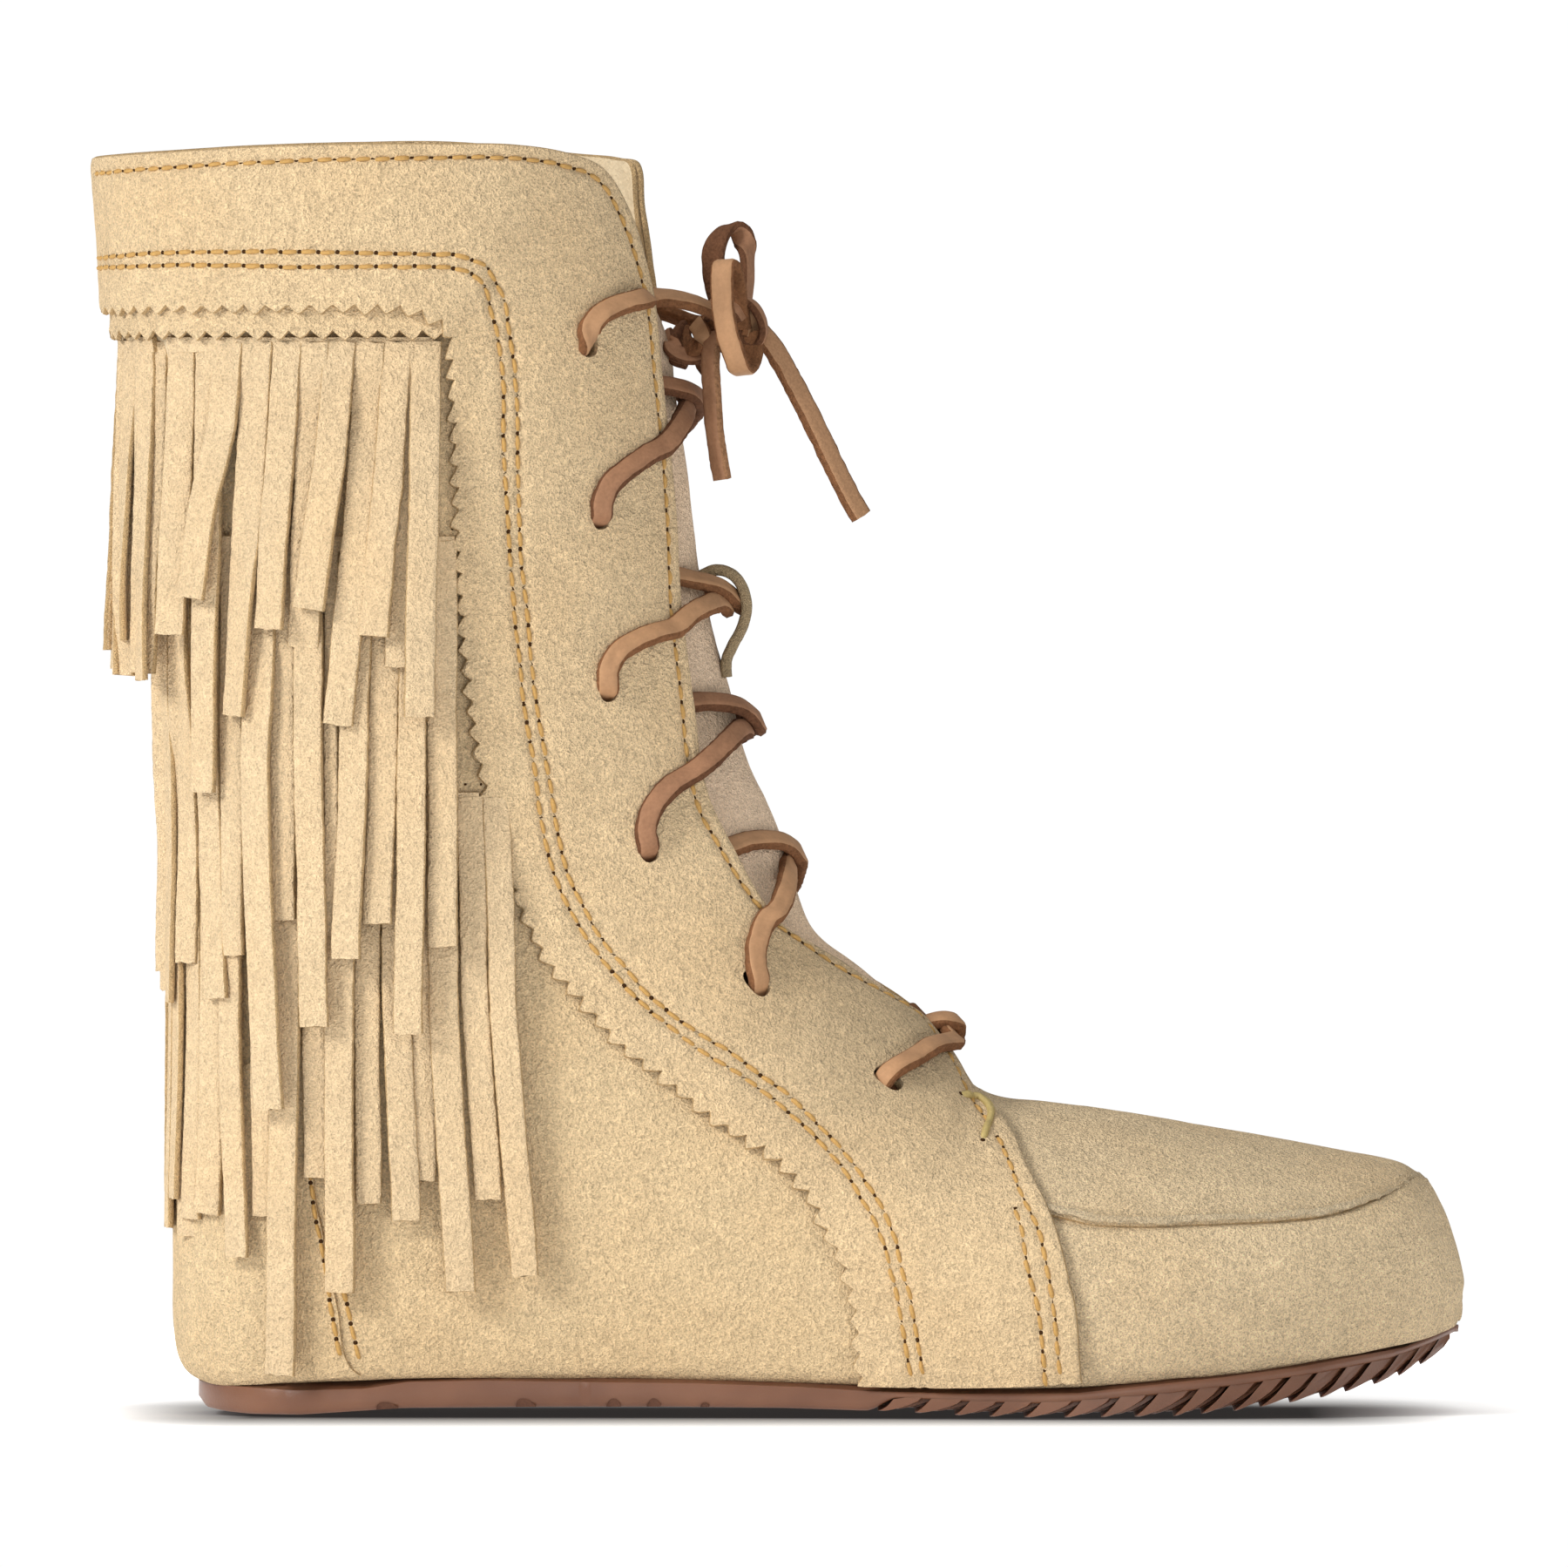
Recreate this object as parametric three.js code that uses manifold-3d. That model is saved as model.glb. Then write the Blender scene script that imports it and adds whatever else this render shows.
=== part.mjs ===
// Fringed lace-up moccasin boot, right foot, calf height.
// Millimetres, +Z up, toe towards +X, outer (lateral) side towards -Y.
// The origin lies on the flat heel patch under the outsole.
//
// Every part of the upper is laid out on one curved surface. A place on it is
// [along, around]: along counts sections from the toe tip to the top of the shaft,
// around is 0 on the top/front line and -2 or 2 on the sole/back line, negative on
// the outer side. Offsets are measured from the surface, positive outwards.
import * as THREE from 'three';
import { mergeVertices } from 'three/addons/utils/BufferGeometryUtils.js';
import Module from 'manifold-3d';

const wasm = await Module();
wasm.setup();

// ---------------------------------------------------------------- dimensions
const SUEDE_T = 1.2;          // upper leather
const LINING_T = 1.0;         // facing leather
const PANEL_OFFSET = 0.5;     // inner face of the front panel
const LACE_W = 4.0;
const LACE_T = 1.4;
const SLOT_L = 7.2;           // lace slots
const SLOT_W = 4.4;
const SLOT_CUT_DEPTH = 12;
const FRINGE_T = 1.1;
const HEADER_UPPER = 217.2;   // top edges of the three fringe headers
const HEADER_MIDDLE = 177.0;
const HEADER_LOWER = 125.3;
const HEADER_H = 4.2;
const KNOT_CENTRE = [90.8, -2.0, 219.4];
const KNOT_RADII = [5.6, 5.0, 5.4];
const BOARD_T = 1.5;          // insole board
const FOOTBED_T = 3.2;
const VAMP_END = 11.2;        // rear end of the toe pieces, in sections
const SIDES = [[-1, 'lateral'], [1, 'medial']];

// Sections of the upper, from the toe tip to the top of the shaft:
// [front x, front z, back x, back z, half width, half width at the back line,
// widest place as a share of the way back, top and bottom roundness, centre y]
const SECTIONS = [
  [238.8, 22.59, 238.1, 18.71, 0.4, 0.2, 0.55, 2, 2.2, 7.5],
  [238.45, 27.89, 236.86, 16.94, 10, 8, 0.55, 2, 2.2, 7.5],
  [236.69, 35.12, 233.86, 15.71, 17, 14.5, 0.56, 2, 2.2, 7.2],
  [234.22, 41.65, 228.57, 14.12, 24, 21, 0.58, 2, 2.3, 6.6],
  [230.69, 47.3, 221.51, 12.71, 30.5, 27, 0.6, 2, 2.4, 5.8],
  [224.51, 50.48, 213.56, 11.3, 36, 32, 0.62, 1.95, 2.5, 4.8],
  [213.92, 52.6, 202.97, 9.71, 41, 36.5, 0.62, 1.9, 2.5, 3.4],
  [199.44, 55.24, 190.62, 8.12, 44.5, 40, 0.62, 1.85, 2.5, 1.8],
  [183.56, 58.24, 176.5, 6.88, 47, 42.5, 0.62, 1.8, 2.5, 0.4],
  [167.67, 60.89, 160.61, 5.82, 47.5, 43, 0.62, 1.75, 2.5, -0.4],
  [153.55, 62.83, 145.61, 5.47, 46.5, 41.5, 0.62, 1.7, 2.5, -0.6],
  [140.32, 65.48, 130.61, 5.65, 44.5, 39, 0.62, 1.7, 2.5, -0.3],
  [133.79, 72.72, 116.49, 6, 42.3, 36.5, 0.61, 1.7, 2.5, 0.1],
  [125.31, 82.6, 100.6, 6.53, 40.3, 34, 0.6, 1.7, 2.5, 0.5],
  [115.61, 90.9, 82.95, 6.88, 38.8, 32, 0.58, 1.75, 2.5, 0.7],
  [108.02, 96.55, 63.54, 7.06, 37.7, 31, 0.56, 1.8, 2.5, 0.7],
  [104.31, 103.25, 42.36, 7.24, 36.9, 31, 0.55, 1.85, 2.5, 0.6],
  [101.49, 112.08, 22.06, 6.88, 36.3, 30.5, 0.54, 1.9, 2.5, 0.4],
  [98.49, 120.9, 4.41, 6.18, 35.9, 27, 0.53, 1.95, 2.5, 0.2],
  [95.31, 128.84, -8.47, 5.65, 35.6, 19, 0.52, 2, 2.5, 0.1],
  [92.49, 136.26, -16.24, 6.35, 35.4, 9, 0.52, 2, 2.5, 0],
  [90.02, 145.61, -20.65, 10.06, 35.3, 0, 0.52, 2, 2.5, 0],
  [87.54, 154.44, -22.24, 17.65, 35.4, 0, 0.51, 2, 2.45, 0],
  [85.6, 163.26, -22.42, 30, 35.7, 0, 0.5, 2, 2.4, 0],
  [83.66, 172.97, -22.42, 44.12, 36.1, 0, 0.5, 2, 2.35, 0],
  [82.07, 183.56, -22.06, 61.77, 36.7, 0, 0.5, 2.05, 2.3, 0],
  [80.66, 194.15, -21.71, 82.95, 37.5, 0, 0.5, 2.05, 2.25, 0],
  [79.42, 204.74, -21.89, 107.66, 38.4, 0, 0.5, 2.1, 2.2, 0],
  [78.37, 215.33, -22.77, 134.14, 39.3, 0, 0.5, 2.1, 2.15, 0],
  [77.31, 225.92, -24.71, 162.38, 40.2, 0, 0.5, 2.1, 2.1, 0],
  [76.42, 234.74, -27.89, 188.85, 41, 0, 0.5, 2.1, 2.1, 0],
  [75.54, 243.57, -31.59, 213.56, 41.6, 0, 0.5, 2.1, 2.1, 0],
  [74.66, 251.51, -34.59, 236.51, 42, 0, 0.5, 2.1, 2.1, 0],
  [73.95, 259.45, -36.71, 259.45, 42.2, 0, 0.5, 2.1, 2.1, 0],
];
const LAST_SECTION = SECTIONS.length - 1;

// Side-view outlines are [x, z].
// Outer edge of the front panel: collar top, facing edge, then down to the sole
const PANEL_OUTER = [
  [-22.95, 255.22], [-5.29, 256.28], [14.12, 256.81], [33.53, 256.81], [45.89, 256.45],
  [56.48, 254.51], [63.54, 250.63], [69.19, 240.04], [72.72, 227.68], [74.48, 211.8],
  [76.25, 195.91], [77.66, 180.03], [78.72, 162.38], [81.19, 144.73], [83.48, 128.84],
  [89.13, 114.72], [97.07, 100.96], [106.78, 93.19], [115.61, 87.54], [123.55, 82.6],
  [129.73, 77.13], [135.91, 67.78], [143.49, 59.48], [149.67, 49.07], [155.5, 36.71],
  [159.2, 22.42], [160.44, 7.94],
];
// The same on the medial side, where the collar corner is squarer
const PANEL_OUTER_MEDIAL = [
  ...PANEL_OUTER.slice(0, 4),
  [56.83, 254.51], [65.3, 253.63], [69.54, 251.87], [70.95, 242.69], [73.25, 227.68],
  [75.37, 211.8], [76.95, 195.91],
  ...PANEL_OUTER.slice(11),
];
// Opposite edge of the front panel, point for point: collar bottom, then the rear edge
const PANEL_INNER = [
  [-22.95, 225.04], [-5.29, 225.04], [10.59, 225.04], [22.06, 224.86], [28.59, 223.45],
  [32.12, 220.98], [33.53, 217.09], [34.06, 210.03], [34.59, 199.44], [35.12, 186.21],
  [35.48, 172.97], [36.18, 160.61], [37.24, 150.91], [38.65, 139.44], [41.48, 124.43],
  [45.54, 110.31], [51.18, 96.55], [60.01, 85.25], [69.72, 74.48], [79.42, 66.89],
  [89.13, 59.3], [97.96, 53.66], [105.02, 47.13], [109.78, 38.83], [113.84, 30],
  [116.31, 19.24], [117.55, 7.41],
];
// Seam between the toe plug and the toe wall
const TOE_SEAM = [
  [154.79, 40.95], [163.26, 38.83], [174.38, 38.48], [186.74, 39.01], [199.97, 39.36],
  [209.33, 40.24], [215.51, 41.83], [220.98, 43.95], [225.39, 45.89], [228.74, 48.01],
];
// Front edge of the heel panel
const HEEL_SEAM = [
  [3.88, 77.66], [4.59, 63.54], [5.65, 49.42], [7.77, 35.3], [10.59, 21.18], [15.53, 8.3],
];
// Centres of the lace slots, lowest first
const LACE_SLOTS = [
  [121.08, 67.07], [94.25, 86.84], [72.36, 114.72], [64.25, 147.38], [62.66, 182.32],
  [60.19, 217.09],
];
// Thread at the lower end of the facing
const BAR_TACK = [
  [135.2, 63.19], [138.73, 61.77], [142.26, 60.01], [141.38, 57.19], [140.67, 54.36],
];
// Underside of the outsole behind the tread
const SOLE_BOTTOM = [
  [-17.83, 3.18], [-16.24, 1.24], [-12, 0.09], [-7.06, 0], [4.59, 0], [24, 1.41],
  [48.71, 1.94], [75.89, 1.94], [100.6, 1.76], [120.02, 1.24],
];

// Fringe strips: [x at the header, x at the tip, z of the tip, width]
const STRIPS_UPPER = [
  [-20.65, -23.47, 157.61, 5.82], [-15.88, -16.94, 126.2, 6], [-11.47, -19.06, 165.03, 6],
  [-5.29, -10.24, 141.73, 6], [0.71, -3, 159.56, 5.82], [6.18, 3.71, 155.85, 6],
  [11.3, 5.12, 163.26, 6], [17.12, 10.59, 140.14, 6.18], [22.42, 18, 157.79, 4.94],
  [25.59, 22.59, 151.61, 2.47], [28.77, 27, 141.73, 5.82],
];
const STRIPS_MIDDLE = [
  [-21.89, -20.65, 92.13, 4.59], [-15.53, -14.12, 84.72, 4.59], [-10.59, -10.41, 93.02, 5.29],
  [-4.59, -3.71, 62.66, 6], [-0.53, -0.18, 100.78, 5.29], [4.59, 6, 79.07, 5.29],
  [9.53, 10.59, 98.84, 2.82], [14.65, 12.35, 93.02, 5.82], [20.83, 19.06, 100.25, 5.82],
  [26.12, 25.06, 77.84, 5.29], [31.77, 31.77, 95.49, 6],
];
const STRIPS_LOWER = [
  [-20.3, -19.41, 36.01, 5.65], [-15.36, -15.88, 40.95, 4.94], [-10.77, -10.24, 32.3, 4.94],
  [-5.29, -4.59, 40.77, 3.88], [-0.88, -1.41, 8.82, 5.82], [5.65, 5.82, 48.54, 4.59],
  [11.12, 10.77, 25.59, 6], [16.59, 16.59, 43.24, 4.94], [23.83, 24.18, 39.71, 5.29],
  [28.06, 28.06, 48.54, 4.59], [34.95, 35.12, 25.59, 5.82], [37.6, 39.4, 44.12, 5.3],
];

// Centre lines of the bow loops and lace ends, [x, y, z]
const BOW_FRONT = [
  [90.2, -9.6, 215.5], [88.6, -11.6, 224], [88.8, -13, 231], [91.0, -13.6, 232.6],
  [93.2, -13.4, 228], [93.8, -13, 220], [94.6, -12.4, 213.6], [92.8, -11.6, 210.8],
  [90.6, -11, 213.0],
];
const BOW_BACK = [
  [88.3, 5.4, 222.6], [85.9, 6.8, 229], [86.6, 7.6, 235.5], [90.2, 7.8, 238.6],
  [93.2, 7.4, 234.5], [93.8, 6.6, 226.5], [93.0, 5.6, 221.5],
];
const END_SHORT = [
  [86.2, -9.9, 214.4], [86.6, -11, 211], [86.4, -11.4, 204], [86.6, -11.2, 196],
  [87.4, -10.8, 188],
];
const END_LONG = [
  [98.2, -4.4, 219.5], [101.5, -4.2, 213.5], [106.0, -3.8, 205], [110.0, -3.2, 195],
  [113.4, -2.6, 186.5], [116.4, -2.2, 181],
];

// ------------------------------------------------------------ number helpers
const { clamp } = THREE.MathUtils;
const vec = (x, y, z) => new THREE.Vector3(x, y, z);
const lerp = (from, to, share) => from + (to - from) * share;
const mix = (from, to, share) => from.map((value, k) => lerp(value, to[k], share));
// count + 1 values for shares from 0 to 1
const steps = (count, make) => Array.from({ length: count + 1 }, (_, i) => make(i / count));
const resolve = (value, ...args) => (typeof value === 'function' ? value(...args) : value);
// eases from 0 to 1; from may be larger than to
function smooth(from, to, value) {
  const share = clamp((value - from) / (to - from), 0, 1);
  return share * share * (3 - 2 * share);
}
function bisect(low, high, rounds, isBelow) {
  for (let i = 0; i < rounds; i++) {
    const middle = (low + high) / 2;
    if (isBelow(middle)) low = middle;
    else high = middle;
  }
  return (low + high) / 2;
}
// reads a table of [place, value], constant beyond its ends
function interpolate(table, place) {
  if (place <= table[0][0]) return table[0][1];
  for (let i = 0; i < table.length - 1; i++) {
    const [start, from] = table[i];
    const [end, to] = table[i + 1];
    if (place <= end) return lerp(from, to, (place - start) / (end - start));
  }
  return table.at(-1)[1];
}

// ------------------------------------------------------------ upper surface
// Catmull-Rom blend of the sections
function section(along) {
  const place = clamp(along, 0, LAST_SECTION);
  const i = Math.min(Math.floor(place), LAST_SECTION - 1);
  const share = place - i;
  const start = SECTIONS[i];
  const end = SECTIONS[i + 1];
  const before = SECTIONS[Math.max(i - 1, 0)];
  const after = SECTIONS[Math.min(i + 2, LAST_SECTION)];
  const blend = start.map((_, k) => 0.5 * (2 * start[k]
    + (-before[k] + end[k]) * share
    + (2 * before[k] - 5 * start[k] + 4 * end[k] - after[k]) * share * share
    + (-before[k] + 3 * start[k] - 3 * end[k] + after[k]) * share * share * share));
  const [frontX, frontZ, backX, backZ, half, backHalf, widest, topPower, lowPower, y] = blend;
  return { frontX, frontZ, backX, backZ, half, backHalf, widest, topPower, lowPower, y };
}
function surface(along, around) {
  const { frontX, frontZ, backX, backZ, widest, topPower, lowPower, y, ...cut } = section(along);
  const half = Math.max(cut.half, 0.05);
  const backHalf = clamp(cut.backHalf, 0, half);
  const turn = Math.abs(around);
  let share;                  // way from the front line to the back line
  let width;
  if (turn <= 1) {
    share = widest * (1 - Math.cos(turn * Math.PI / 2));
    const rest = Math.pow(Math.max(1 - share / widest, 0), topPower);
    width = half * Math.pow(1 - rest, 1 / topPower);
  } else {
    const sine = Math.sin(Math.min(turn - 1, 1) * Math.PI / 2);
    share = widest + (1 - widest) * sine;
    const rest = Math.max(1 - Math.pow(sine, lowPower), 0);
    width = backHalf + (half - backHalf) * Math.pow(rest, 1 / lowPower);
  }
  const side = around < 0 ? -1 : 1;
  return vec(lerp(frontX, backX, share), y + side * width, lerp(frontZ, backZ, share));
}
// beyond the back line, around carries on from the other side
function wrapAround(around) {
  if (around > 2) return around - 4;
  return around < -2 ? around + 4 : around;
}
function normal(along, around) {
  const step = 0.02;
  const cut = section(along);
  const closedAtBack = cut.backHalf <= 0.05;
  const beside = (value) => surface(along, closedAtBack ? wrapAround(value) : clamp(value, -2, 2));
  const alongDir = surface(along + step, around).sub(surface(along - step, around));
  const aroundDir = beside(around + step).sub(beside(around - step));
  const direction = alongDir.cross(aroundDir).normalize();
  const centre = vec((cut.frontX + cut.backX) / 2, cut.y, (cut.frontZ + cut.backZ) / 2);
  const outward = surface(along, around).sub(centre).dot(direction) >= 0;
  return outward ? direction : direction.negate();
}
const offsetPoint = (along, around, offset) => (
  surface(along, around).addScaledVector(normal(along, around), offset));

const SURFACE_GRID = [];
for (let i = 0; i <= 132; i++) {
  for (let j = 0; j <= 48; j++) {
    const along = i * LAST_SECTION / 132;
    const around = j * 2 / 48;
    const { x, z } = surface(along, around);
    SURFACE_GRID.push({ along, around, x, z });
  }
}
// side-view point -> [along, around], around from 0 to 2: nearest grid point, then Newton steps
function locate(x, z) {
  let nearest = SURFACE_GRID[0];
  let least = 1e9;
  for (const spot of SURFACE_GRID) {
    const distance = (spot.x - x) ** 2 + (spot.z - z) ** 2;
    if (distance < least) {
      least = distance;
      nearest = spot;
    }
  }
  let { along, around } = nearest;
  const step = 1e-4;
  for (let i = 0; i < 30; i++) {
    const point = surface(along, around);
    const high = Math.min(around + step, 2);
    const low = Math.max(around - step, 0);
    const alongRate = surface(along + step, around).sub(surface(along - step, around))
      .multiplyScalar(0.5 / step);
    const aroundRate = surface(along, high).sub(surface(along, low))
      .multiplyScalar(1 / (high - low));
    const det = alongRate.x * aroundRate.z - aroundRate.x * alongRate.z;
    const missX = x - point.x;
    const missZ = z - point.z;
    if (Math.abs(det) < 1e-6) break;
    const alongMove = (missX * aroundRate.z - aroundRate.x * missZ) / det;
    const aroundMove = (alongRate.x * missZ - missX * alongRate.z) / det;
    along = clamp(along + clamp(alongMove, -0.3, 0.3), 0, LAST_SECTION);
    around = clamp(around + clamp(aroundMove, -0.3, 0.3), 0, 2);
    if (Math.abs(missX) + Math.abs(missZ) < 1e-4) break;
  }
  return [along, around];
}
const locateAll = (outline) => outline.map(([x, z]) => locate(x, z));
// along at which the surface stands at height z, in the shaft and heel
const alongAtHeight = (around, z) => (
  bisect(17, LAST_SECTION, 50, (along) => surface(along, around).z < z));
const backAlong = (z) => alongAtHeight(2, z);
// direction up the boot, on the surface
const upDirection = (along, around) => (
  surface(Math.min(along + 0.1, LAST_SECTION), around).sub(surface(along - 0.1, around))
    .normalize());

// ------------------------------------------------------------ solid helpers
const group = new THREE.Group();
group.name = 'moccasin_boot';
const MATERIALS = {
  suede: new THREE.MeshStandardMaterial({ color: 0xe3c696, roughness: 0.95 }),
  suede_fringe: new THREE.MeshStandardMaterial({ color: 0xddc08e, roughness: 0.95 }),
  tongue_suede: new THREE.MeshStandardMaterial({ color: 0xd9c3a4, roughness: 0.95 }),
  lining: new THREE.MeshStandardMaterial({ color: 0xd8c3a0, roughness: 0.8 }),
  rubber: new THREE.MeshStandardMaterial({ color: 0x8e6852, roughness: 0.45 }),
  board: new THREE.MeshStandardMaterial({ color: 0xb59a78, roughness: 0.9 }),
  foam: new THREE.MeshStandardMaterial({ color: 0xc9b48d, roughness: 0.9 }),
  lace: new THREE.MeshStandardMaterial({ color: 0xab805f, roughness: 0.7 }),
  thread: new THREE.MeshStandardMaterial({ color: 0xa8965c, roughness: 0.6 }),
};
function add(name, geometry, material) {
  const flat = geometry.toNonIndexed();
  flat.computeVertexNormals();
  const mesh = new THREE.Mesh(flat, MATERIALS[material]);
  mesh.name = name;
  group.add(mesh);
}
function indexedGeometry(positions, index) {
  const geometry = new THREE.BufferGeometry();
  geometry.setAttribute('position', new THREE.Float32BufferAttribute(positions, 3));
  geometry.setIndex(index);
  return geometry;
}
// merges coincident points, drops collapsed triangles and turns the faces outward
function solidGeometry(points, triangles) {
  const seen = new Map();
  const merged = [];
  const ids = points.map((point) => {
    const key = point.toArray().map((value) => Math.round(value * 500)).join(',');
    if (!seen.has(key)) {
      seen.set(key, merged.length);
      merged.push(point);
    }
    return seen.get(key);
  });
  let faces = triangles.map((corners) => corners.map((corner) => ids[corner]))
    .filter(([a, b, c]) => a !== b && b !== c && a !== c);
  let volume = 0;
  for (const [a, b, c] of faces) volume += merged[a].dot(merged[b].clone().cross(merged[c]));
  if (volume < 0) faces = faces.map(([a, b, c]) => [a, c, b]);
  return indexedGeometry(merged.flatMap((point) => point.toArray()), faces.flat());
}
function toManifold(geometry) {
  const bare = geometry.clone();
  bare.deleteAttribute('normal');
  bare.deleteAttribute('uv');
  const welded = mergeVertices(bare, 1e-4);
  return new wasm.Manifold(new wasm.Mesh({
    numProp: 3,
    vertProperties: new Float32Array(welded.attributes.position.array),
    triVerts: new Uint32Array(welded.index.array),
  }));
}
function fromManifold(manifold) {
  const mesh = manifold.getMesh();
  return indexedGeometry(mesh.vertProperties, Array.from(mesh.triVerts));
}
// closed slab between two grids of points, rows x columns
function slab(top, bottom) {
  const rows = top.length;
  const columns = top[0].length;
  const below = rows * columns;
  const triangles = [];
  const id = (r, c) => r * columns + c;
  for (let r = 0; r < rows - 1; r++) {
    for (let c = 0; c < columns - 1; c++) {
      const [a, b, d, e] = [id(r, c), id(r + 1, c), id(r + 1, c + 1), id(r, c + 1)];
      triangles.push([a, b, d], [a, d, e]);
      triangles.push([below + a, below + d, below + b], [below + a, below + e, below + d]);
    }
  }
  const wall = (a, b) => triangles.push([a, b, below + b], [a, below + b, below + a]);
  for (let c = 0; c < columns - 1; c++) {
    wall(id(0, c), id(0, c + 1));
    wall(id(rows - 1, c + 1), id(rows - 1, c));
  }
  for (let r = 0; r < rows - 1; r++) {
    wall(id(r + 1, 0), id(r, 0));
    wall(id(r, columns - 1), id(r + 1, columns - 1));
  }
  return solidGeometry([...top.flat(), ...bottom.flat()], triangles);
}
// slab on the surface over a grid of [along, around]; the offsets are numbers or
// functions of row, column, along, around
function sheet(grid, inner, outer) {
  const face = (offset) => grid.map((row, r) => row.map(([along, around], c) => (
    offsetPoint(along, around, resolve(offset, r, c, along, around)))));
  return slab(face(outer), face(inner));
}
// closed loft through rings with equal numbers of points
function loft(rings) {
  const size = rings[0].length;
  const end = size * (rings.length - 1);
  const triangles = [];
  for (let i = 0; i < rings.length - 1; i++) {
    for (let k = 0; k < size; k++) {
      const a = size * i + k;
      const b = size * i + (k + 1) % size;
      triangles.push([a, b, b + size], [a, b + size, a + size]);
    }
  }
  for (let k = 1; k < size - 1; k++) triangles.push([0, k + 1, k]);
  for (let k = 1; k < size - 1; k++) triangles.push([end, end + k, end + k + 1]);
  return solidGeometry(rings.flat(), triangles);
}
// flat strap along a path; across gives the width direction
// width and across may be functions of the point's number
function strap(path, width, thickness, across) {
  return loft(path.map((point, i) => {
    const previous = path[Math.max(i - 1, 0)];
    const next = path[Math.min(i + 1, path.length - 1)];
    const tangent = next.clone().sub(previous).normalize();
    const hint = resolve(across, i);
    const widthDir = hint.clone().addScaledVector(tangent, -hint.dot(tangent)).normalize();
    const thickDir = vec().crossVectors(tangent, widthDir);
    const halfW = resolve(width, i) / 2;
    const halfT = thickness / 2;
    return [[halfW, halfT], [-halfW, halfT], [-halfW, -halfT], [halfW, -halfT]]
      .map(([wide, thick]) => (
        point.clone().addScaledVector(widthDir, wide).addScaledVector(thickDir, thick)));
  }));
}
const mirrored = (grid, side) => (
  grid.map((row) => row.map(([along, around]) => [along, side * around])));
// 2 * count + 1 places across the front line, from -around to around
const centredRow = (along, around, count) => (
  Array.from({ length: 2 * count + 1 }, (_, i) => [along, around * (i - count) / count]));

// ------------------------------------------------- front panels and facings
const PANEL_COLS = 6;
const FACING_START = 5;       // first and last panel rows of the facing lining
const FACING_END = 22;
const panelOuterLateral = [[backAlong(254.0), 2], ...locateAll(PANEL_OUTER)];
const panelOuterMedial = [[backAlong(254.0), 2], ...locateAll(PANEL_OUTER_MEDIAL)];
const panelInner = [[backAlong(225.0), 2], ...locateAll(PANEL_INNER)];
const LAST_PANEL_ROW = panelInner.length - 1;
const slotPlaces = locateAll(LACE_SLOTS);

// row runs along the panel, share from its inner edge to its outer edge
function panelPoint(row, share, side = -1) {
  const outer = side < 0 ? panelOuterLateral : panelOuterMedial;
  const i = Math.min(Math.floor(row), LAST_PANEL_ROW - 1);
  const crossing = (k) => mix(panelInner[k], outer[k], share);
  return mix(crossing(i), crossing(i + 1), row - i);
}
// the collar stands further out where it covers the fringe header
const collarLift = (row) => 1 - smooth(5, 9, row);
function panelSheet(side) {
  const grid = panelInner.map((_, r) => steps(PANEL_COLS, (share) => {
    const [along, around] = panelPoint(r, share, side);
    // keep the two halves of the collar apart at the back seam
    return [along, Math.min(around, r < 3 ? 1.985 : 1.9)];
  }));
  const inner = (r, c) => PANEL_OFFSET + collarLift(r) * lerp(2.9, 1.6, c / PANEL_COLS)
    + 0.55 * smooth(20, 25, r);
  return sheet(mirrored(grid, side), inner, (r, c) => inner(r, c) + SUEDE_T);
}
// inside the front panel along the lacing
function facingSheet(side) {
  const grid = [];
  for (let r = FACING_START; r <= FACING_END; r++) {
    grid.push([3 / 6, 4 / 6, 5 / 6, 1].map((share) => panelPoint(r, share, side)));
  }
  const inner = (r) => -1.0 + collarLift(r + FACING_START) * 1.2
    + 0.1 * smooth(20, 25, r + FACING_START);
  return sheet(mirrored(grid, side), inner, (r) => inner(r) + LINING_T + 0.05);
}
function slotPrism(along, around) {
  const outDir = normal(along, around);
  const upDir = upDirection(along, around);
  const acrossDir = vec().crossVectors(upDir, outDir).normalize();
  const placing = new THREE.Matrix4().makeBasis(acrossDir, upDir, outDir)
    .setPosition(surface(along, around));
  return toManifold(new THREE.BoxGeometry(SLOT_W, SLOT_L, SLOT_CUT_DEPTH).applyMatrix4(placing));
}
function cutSlots(geometry, side) {
  let solid = toManifold(geometry);
  for (const [along, around] of slotPlaces) {
    solid = solid.subtract(slotPrism(along, side * around));
  }
  return fromManifold(solid);
}
function addFrontPanels() {
  for (const [side, name] of SIDES) {
    add(`front_panel_${name}`, cutSlots(panelSheet(side), side), 'suede');
    add(`facing_lining_${name}`, cutSlots(facingSheet(side), side), 'lining');
  }
}
// around of the facing edge at a given along
function facingEdge(along) {
  let around = 0.3;
  for (let r = 6; r < LAST_PANEL_ROW - 3; r++) {
    const [start, from] = panelOuterLateral[r];
    const [end, to] = panelOuterLateral[r + 1];
    if ((start - along) * (end - along) <= 0 && start !== end) {
      around = lerp(from, to, (along - start) / (end - start));
    }
  }
  return around;
}
// row at which the line of the given share across the panel reaches a section
function rowAtAlong(along, share) {
  for (let r = 6; r < LAST_PANEL_ROW; r += 0.05) {
    if (panelPoint(r, share)[0] >= along && panelPoint(r + 0.05, share)[0] < along) {
      return r + 0.025;
    }
  }
  return LAST_PANEL_ROW;
}

// ---------------------------------------------- rear quarters, heel, linings
// upper rows fan from the panel to these places on the back line, below the top row
const FAN_BACK = [30.2, 28.4, 26.6, 25, 23.6, 22.5, 21.6, 20.9, 20.2, 19.4, 18.5, 17.5];
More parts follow.
